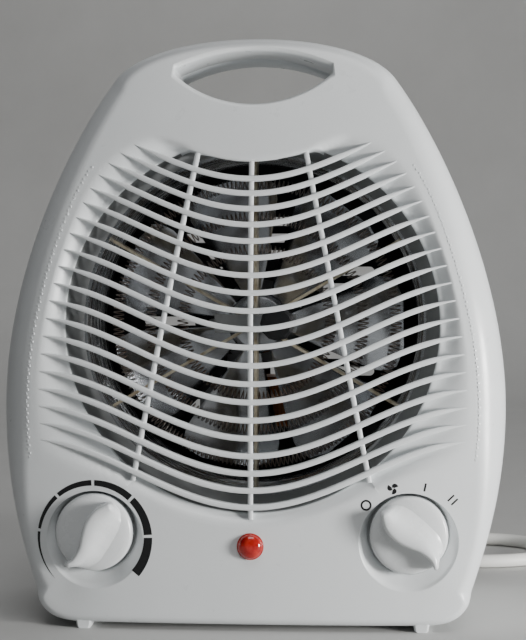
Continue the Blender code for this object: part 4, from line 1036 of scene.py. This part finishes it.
def fan_blade(number):
    """One pitched blade with a rounded tip and a thin, slightly cambered section."""
    turn = 2.0 * math.pi * number / BLADE_COUNT
    rings = []
    for k in range(17):
        share = k / 16.0
        reach = HUB_R - 0.001 + (FAN_R - HUB_R) * share
        chord = 0.0076 + 0.0384 * min(1.0, share / 0.76) ** 0.9
        tip = math.sqrt(max(0.0, 1.0 - max(0.0, (share - 0.85) / 0.15) ** 2))
        chord *= 0.55 + 0.45 * tip
        ring = []
        for i in range(20):
            angle = 2.0 * math.pi * i / 20
            along = math.cos(angle)
            skin = math.sin(angle) * 0.0006
            camber = 0.0008 * (1.0 - along * along)
            u = along * 0.5 * chord * math.cos(BLADE_PITCH) - (skin + camber) * math.sin(BLADE_PITCH)
            y = BLADE_Y + along * 0.5 * chord * math.sin(BLADE_PITCH) + (skin + camber) * math.cos(BLADE_PITCH)
            ring.append(Vector((reach * math.cos(turn) - u * math.sin(turn), y,
                                AXIS_Z + reach * math.sin(turn) + u * math.cos(turn))))
        rings.append(ring)
    return loft(rings, ends=True)


def make_fan(finishes):
    hub = ((0.0001, 0.0006), (0.0030, 0.0006), (0.0034, 0.0001), (0.0060, 0.0001), (0.0110, 0.0008),
           (0.0132, 0.0020), (HUB_R, 0.0036), (HUB_R, 0.0145), (0.0126, 0.0145), (0.0126, 0.0060),
           (0.0040, 0.0060),
           (0.0040, 0.0145), (0.0023, 0.0145), (0.0023, 0.0040))
    shapes = [turned(0.0, AXIS_Z, hub, 56)] + [fan_blade(number) for number in range(BLADE_COUNT)]
    made = add_mesh("impeller_moulding", joined(*shapes), finishes["fan"], 50.0)
    placed(outward(made), "fan", "fan_metal", "fan_impeller")


# ---------------------------------------------------------------- fasteners
def screw_head(radius, height, shank, length):
    """Pan head with a cross recess; the head rises towards +Y from its seat at y = 0."""
    profile = [(0.0001, height), (radius * 0.45, height), (radius * 0.78, height * 0.88),
               (radius * 0.95, height * 0.6),
               (radius, height * 0.25), (radius, 0.0), (shank, 0.0), (shank, -length), (0.0001, -length)]
    head = add_mesh("screw_blank", turned(0.0, 0.0, profile, 28), bpy.data.materials["zinc_steel"])
    outward(head)
    arm = radius * 0.62
    half = radius * 0.14
    points = [(arm, -half), (arm, half), (half, half), (half, arm), (-half, arm), (-half, half), (-arm, half),
              (-arm, -half), (-half, -half), (-half, -arm), (half, -arm), (half, -half)]
    rings = [[Vector((x * grow, y, z * grow)) for x, z in points]
             for y, grow in ((height * 0.35, 0.45), (height + 0.001, 1.15))]
    cut(head, loft(rings, ends=True), "cross_recess")
    mesh = head.data
    mesh.shade_smooth()
    mesh.set_sharp_from_angle(angle=math.radians(35.0))
    bpy.data.objects.remove(head)
    return mesh


def make_screws():
    """Every screw of a kind shares one mesh, turned a little differently each time."""
    kinds = {
        "casing_screw": (screw_head(0.0034, 0.0024, 0.0012, 0.0185), 1.0),
        "duct_screw": (screw_head(0.0028, 0.0016, 0.0011, 0.0060), 1.0),
        "mount_screw": (screw_head(0.0030, 0.0018, 0.0012, 0.0060), 1.0),
        "motor_screw": (screw_head(0.0032, 0.0022, 0.0015, 0.0170), 1.0),
        "thermostat_screw": (screw_head(0.0027, 0.0011, 0.0011, 0.0065), -1.0),
        "mode_switch_screw": (screw_head(0.0027, 0.0011, 0.0011, 0.0065), -1.0),
        "clamp_screw": (screw_head(0.0028, 0.0018, 0.0011, 0.0180), 0.0),
    }
    for name in sorted(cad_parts):
        kind, _, number = name.rpartition("_")
        if kind not in kinds:
            continue
        mesh, facing = kinds[kind]
        low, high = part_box(name)
        middle = (low + high) / 2.0
        made = bpy.data.objects.new(name + "_head", mesh)
        bpy.context.collection.objects.link(made)
        twist = math.radians(37.0 * int(number) + 11.0 * len(kind))
        top = max(vertex.co.y for vertex in mesh.vertices)
        if facing > 0.0:
            made.matrix_world = Matrix.Translation((middle.x, high.y - top,
                                                    middle.z)) @ Matrix.Rotation(twist, 4, "Y")
        elif facing < 0.0:
            half_turn = Matrix.Rotation(math.pi, 4, "Z")
            made.matrix_world = (Matrix.Translation((middle.x, low.y + top, middle.z)) @ half_turn
                                 @ Matrix.Rotation(twist, 4, "Y"))
        else:
            upright = Matrix.Rotation(math.radians(90.0), 4, "X")
            made.matrix_world = (Matrix.Translation((middle.x, middle.y, high.z - top)) @ upright
                                 @ Matrix.Rotation(twist, 4, "Y"))
        placed(made, "casing", "steel", name)


# ---------------------------------------------------------------- mains cord and plug
# The plug along its length: a ribbed sleeve, a shoulder, a waisted grip and the face for the pins.
PLUG_SECTIONS = ((0.0, 0.0042, 0.0042), (0.0040, 0.0048, 0.0048), (0.0150, 0.0062, 0.0062),
                 (0.0170, 0.0080, 0.0072),
                 (0.0195, 0.0120, 0.0095), (0.0225, 0.0155, 0.0110), (0.0260, 0.0173, 0.0117),
                 (0.0300, 0.0172, 0.0112), (0.0350, 0.0168, 0.0106), (0.0400, 0.0170, 0.0110),
                 (0.0440, 0.0174, 0.0117), (0.0452, 0.0170, 0.0114), (0.0460, 0.0160, 0.0104))


def make_relief(finishes):
    """Tapered strain relief with flexing grooves."""
    y0 = BACK_Y + 0.0003
    inside = BACK_Y - WALL
    profile = [(0.0060, inside - 0.0028), (0.0062, inside - 0.0024), (0.0062, inside - 0.0003),
               (0.0043, inside - 0.0003), (0.0043, y0), (0.0062, y0), (0.0064, y0 + 0.0004),
               (0.0062, y0 + 0.0020),
               (0.0056, y0 + 0.0026)]
    grooves = 6
    for k in range(grooves):
        start = y0 + 0.0030 + k * 0.0040
        outer = 0.0056 - 0.0018 * k / grooves
        profile += [(outer, start), (outer - 0.0001, start + 0.0022), (outer - 0.0009, start + 0.0026),
                    (outer - 0.0009, start + 0.0036)]
    profile += [(0.0040, BACK_Y + RELIEF_LENGTH - 0.0006), (0.0037, BACK_Y + RELIEF_LENGTH),
                (0.0034, BACK_Y + RELIEF_LENGTH)]
    made = add_mesh("relief_sleeve", turned(CORD_EXIT.x, CORD_EXIT.z, profile, 40), finishes["cord"], 40.0)
    placed(outward(made), "casing", "cord_plastic", "strain_relief")
    return made


def cord_points():
    """The whole lead on one line: out and down, a loose loop, the stored turns, and the tail to the plug."""
    lead = [Vector(point) for point in (
        (0.0600, 0.0610, 0.0220), (0.0600, 0.0740, 0.0220), (0.0600, 0.0880, 0.0220),
        (0.0602, 0.0990, 0.0212),
        (0.0618, 0.1120, 0.0165), (0.0665, 0.1280, 0.0090), (0.0760, 0.1440, 0.0042),
        (0.0900, 0.1580, CORD_LAY),
        (0.1080, 0.1660, CORD_LAY), (0.1270, 0.1650, CORD_LAY), (0.1430, 0.1540, CORD_LAY),
        (0.1500, 0.1360, CORD_LAY), (0.1460, 0.1170, CORD_LAY), (0.1320, 0.1040, CORD_LAY),
        (0.1130, 0.0985, CORD_LAY), (0.0920, 0.1000, CORD_LAY), (0.0700, 0.1050, CORD_LAY),
        (0.0480, 0.1090, CORD_LAY), (0.0260, 0.1100, CORD_LAY))]
    turns = []
    step = CORD_R * 2.0
    lanes = ((0.5, 0.0), (-0.5, 0.0), (-0.5, 1.0), (0.5, 1.0), (0.5, 2.0), (0.5, 2.0))
    for k in range(1, 101):
        progress = k / 24.0
        lane = int(progress)
        ease = smooth((progress - lane - 0.80) / 0.20)
        across = lanes[lane][0] + (lanes[lane + 1][0] - lanes[lane][0]) * ease
        up = lanes[lane][1] + (lanes[lane + 1][1] - lanes[lane][1]) * ease
        radius = COIL_MEAN_R + across * step * 1.03
        angle = -math.pi / 2.0 - 2.0 * math.pi * progress
        turns.append(Vector((COIL_CENTRE[0] + radius * math.cos(angle),
                             COIL_CENTRE[1] + radius * math.sin(angle),
                             CORD_LAY + up * step * 1.01)))
    tail = [Vector(point) for point in (
        (-0.0392, 0.1640, 0.0160), (-0.0391, 0.1760, 0.0130), (-0.0400, 0.1875, 0.0095),
        (-0.0446, 0.1970, 0.0065),
        (-0.0548, 0.2065, 0.0045),
        (-0.0680, 0.2095, 0.0040), (-0.0812, 0.2065, 0.0052), (-0.0920, 0.1970, 0.0082),
        (-0.0966, 0.1850, 0.0108),
        (-0.0970, 0.1740, 0.0118), (-0.0970, 0.1640, 0.0120), (-0.0970, 0.1540, 0.0120))]
    return lead, turns, tail


def make_cord(finishes):
    relief = make_relief(finishes)
    lead, turns, tail = cord_points()
    points = rounded(lead + turns + tail, 3)
    curve = bpy.data.curves.new("mains_cord", "CURVE")
    curve.dimensions = "3D"
    curve.bevel_depth = CORD_R
    curve.bevel_resolution = 5
    curve.use_fill_caps = True
    spline = curve.splines.new("POLY")
    spline.points.add(len(points) - 1)
    for place, point in zip(spline.points, points):
        place.co = (*point, 1.0)
    curve.materials.append(finishes["cord"])
    flex = bpy.data.objects.new("mains_cord", curve)
    bpy.context.collection.objects.link(flex)
    placed(flex, "casing", "cord_plastic", "cord_lead", "cord_coil", "cord_tail")

    rings = []
    for along, half_w, half_h in PLUG_SECTIONS:
        power = 0.72 if along > 0.016 else 1.0
        ring = []
        for k in range(48):
            angle = 2.0 * math.pi * (k + 0.5) / 48.0
            cos, sin = math.cos(angle), math.sin(angle)
            ring.append(Vector((PLUG_END.x + half_w * math.copysign(abs(cos) ** power, cos),
                                PLUG_END.y - along,
                                PLUG_END.z + half_h * math.copysign(abs(sin) ** power, sin))))
        rings.append(ring)
    grip = add_mesh("plug_moulding", loft(rings, ends=True), finishes["cord"], 50.0)
    placed(outward(grip), "casing", "cord_plastic", "plug_body")
    ridges = []
    for side in (1.0, -1.0):
        for k in range(5):
            y = PLUG_END.y - 0.0285 - 0.0030 * k
            points = [Vector((PLUG_END.x + 0.0105 * t, y,
                              PLUG_END.z + side * (0.0108 - 0.0014 * abs(t) ** 3)))
                      for t in (-1.0, -0.6, -0.2, 0.2, 0.6, 1.0)]
            ridges.append(sweep(points, 0.0006, 10))
    made = add_mesh("plug_ridges", joined(*ridges), finishes["cord"], 60.0)
    placed(made, "casing", "cord_plastic", "plug_body")
    pieces = [relief, grip, made]
    face = PLUG_END.y - 0.0463
    for number, side in enumerate((1.0, -1.0), 1):
        x = PLUG_END.x + side * PIN_SPREAD / 2.0
        sleeve = turned(x, PLUG_END.z,
                        ((0.0024, face + 0.0003), (0.0024, face - 0.0095), (0.0022, face - 0.0098)), 32)
        collar = add_mesh(f"pin_sleeve_{number}", sleeve, finishes["cord"], 40.0)
        placed(collar, "casing", "cord_plastic", f"plug_pin_{number}")
        metal = turned(x, PLUG_END.z,
                       ((0.0021, face - 0.0090), (0.0021, face - 0.0172), (0.0019, face - 0.0182),
                                       (0.0013, face - 0.0190), (0.0001, face - 0.0190)), 32)
        pin = add_mesh(f"pin_metal_{number}", metal, finishes["pin"], 40.0)
        placed(pin, "casing", "brass", f"plug_pin_{number}")
        pieces += [collar, pin]


# ---------------------------------------------------------------- frame nodes that stay
KEPT = {
    "thermostat_spindle": "steel", "mode_spindle": "steel", "thermostat_body": "cream",
    "mode_switch_body": "black",
    "neon_lamp": "glass", "mica_frame": "mica", "cutout_bracket": "steel", "thermal_cutout": "black",
    "motor_shaft": "steel", "motor_rotor": "iron", "motor_stator": "iron", "motor_winding": "copper",
    "front_bearing_bridge": "steel", "rear_bearing_bridge": "steel", "front_bush": "bronze",
    "rear_bush": "bronze",
    "motor_mount": "black", "inner_lead": "cord", "cord_clamp": "cord", "clamp_saddle": "shell",
    "terminal_block": "cream",
}


def dress_nodes(finishes):
    for name, finish in KEPT.items():
        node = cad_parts[name]
        node.data.materials.clear()
        node.data.materials.append(finishes[finish])


# ---------------------------------------------------------------- camera, lights and floor
def make_stage():
    made, shader = principled("studio_floor", (0.56, 0.56, 0.55), 0.62)
    tree, place = nodes_for(made)
    tone = noise(tree, place, 6.0, 5.0, 0.6)
    tree.links.new(ramp(tree, tone, ((0.3, (0.53, 0.53, 0.52)), (0.7, (0.58, 0.58, 0.57)))),
                   shader.inputs["Base Color"])
    rings = []
    for x in (-4.0, 4.0):
        profile = [(-4.0, 0.0), (1.2, 0.0)]
        profile += [(1.2 + 0.5 * math.sin(math.radians(9.0 * k)), 0.5 - 0.5 * math.cos(math.radians(9.0 * k)))
                    for k in range(1, 11)]
        profile.append((1.7, 3.5))
        rings.append([Vector((x, y, z)) for y, z in profile])
    count = len(rings[0])
    faces = [(i, count + i, count + i + 1, i + 1) for i in range(count - 1)]
    floor = add_mesh("studio_sweep", (rings[0] + rings[1], faces), made, 60.0)


def area_light(name, place, aim, size, power, colour=(1.0, 1.0, 1.0)):
    light = bpy.data.lights.new(name, "AREA")
    light.shape = "RECTANGLE"
    light.size, light.size_y = size
    light.energy = power
    light.color = colour
    made = bpy.data.objects.new(name, light)
    bpy.context.collection.objects.link(made)
    made.location = place
    made.rotation_euler = (Vector(aim) - Vector(place)).to_track_quat("-Z", "Y").to_euler()


def make_light():
    world = bpy.data.worlds.new("soft_room")
    world.use_nodes = True
    background = world.node_tree.nodes["Background"]
    background.inputs["Color"].default_value = (0.93, 0.96, 1.0, 1.0)
    background.inputs["Strength"].default_value = 0.035
    bpy.context.scene.world = world
    area_light("key_window", (0.72, -0.36, 0.08), (0.0, 0.0, 0.13), (0.18, 0.22), 11.5, (1.0, 0.99, 0.97))
    area_light("top_soft", (0.10, -0.80, 1.60), (0.0, 0.0, 0.12), (1.0, 0.8), 9.5)
    area_light("sweep_glow", (0.0, 1.00, 1.70), (0.0, 1.6, 0.3), (1.6, 0.5), 7.0)


def make_camera():
    """Just above the fan axis and to the right of the middle, looking slightly back to the left."""
    lens = bpy.data.cameras.new("front_view")
    lens.lens = CAMERA_LENS
    lens.sensor_width = 36.0
    lens.clip_start = 0.01
    camera = bpy.data.objects.new("front_view", lens)
    bpy.context.collection.objects.link(camera)
    camera.location = CAMERA_PLACE
    camera.rotation_euler = (math.radians(90.0 - CAMERA_DIP), 0.0, math.radians(CAMERA_TURN))
    bpy.context.scene.camera = camera


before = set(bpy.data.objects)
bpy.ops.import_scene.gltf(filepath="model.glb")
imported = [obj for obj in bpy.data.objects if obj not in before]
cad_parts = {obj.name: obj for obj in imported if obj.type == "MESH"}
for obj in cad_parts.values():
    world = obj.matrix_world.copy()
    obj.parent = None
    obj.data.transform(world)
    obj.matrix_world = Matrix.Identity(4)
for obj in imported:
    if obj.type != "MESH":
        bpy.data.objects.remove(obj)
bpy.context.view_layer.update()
finishes = make_finishes()
make_camera()
make_cord(finishes)
make_front(finishes)
make_rear(finishes)
for knob, side, angle in (("thermostat_knob", -1.0, POINTER_ANGLE),
                          ("mode_knob", 1.0, math.pi - POINTER_ANGLE)):
    make_knob(knob, knob, side, angle, finishes)
make_prints(finishes)
make_lamp(finishes)
make_duct(finishes)
make_coils(finishes)
make_fan(finishes)
make_screws()
dress_nodes(finishes)
make_stage()
make_light()
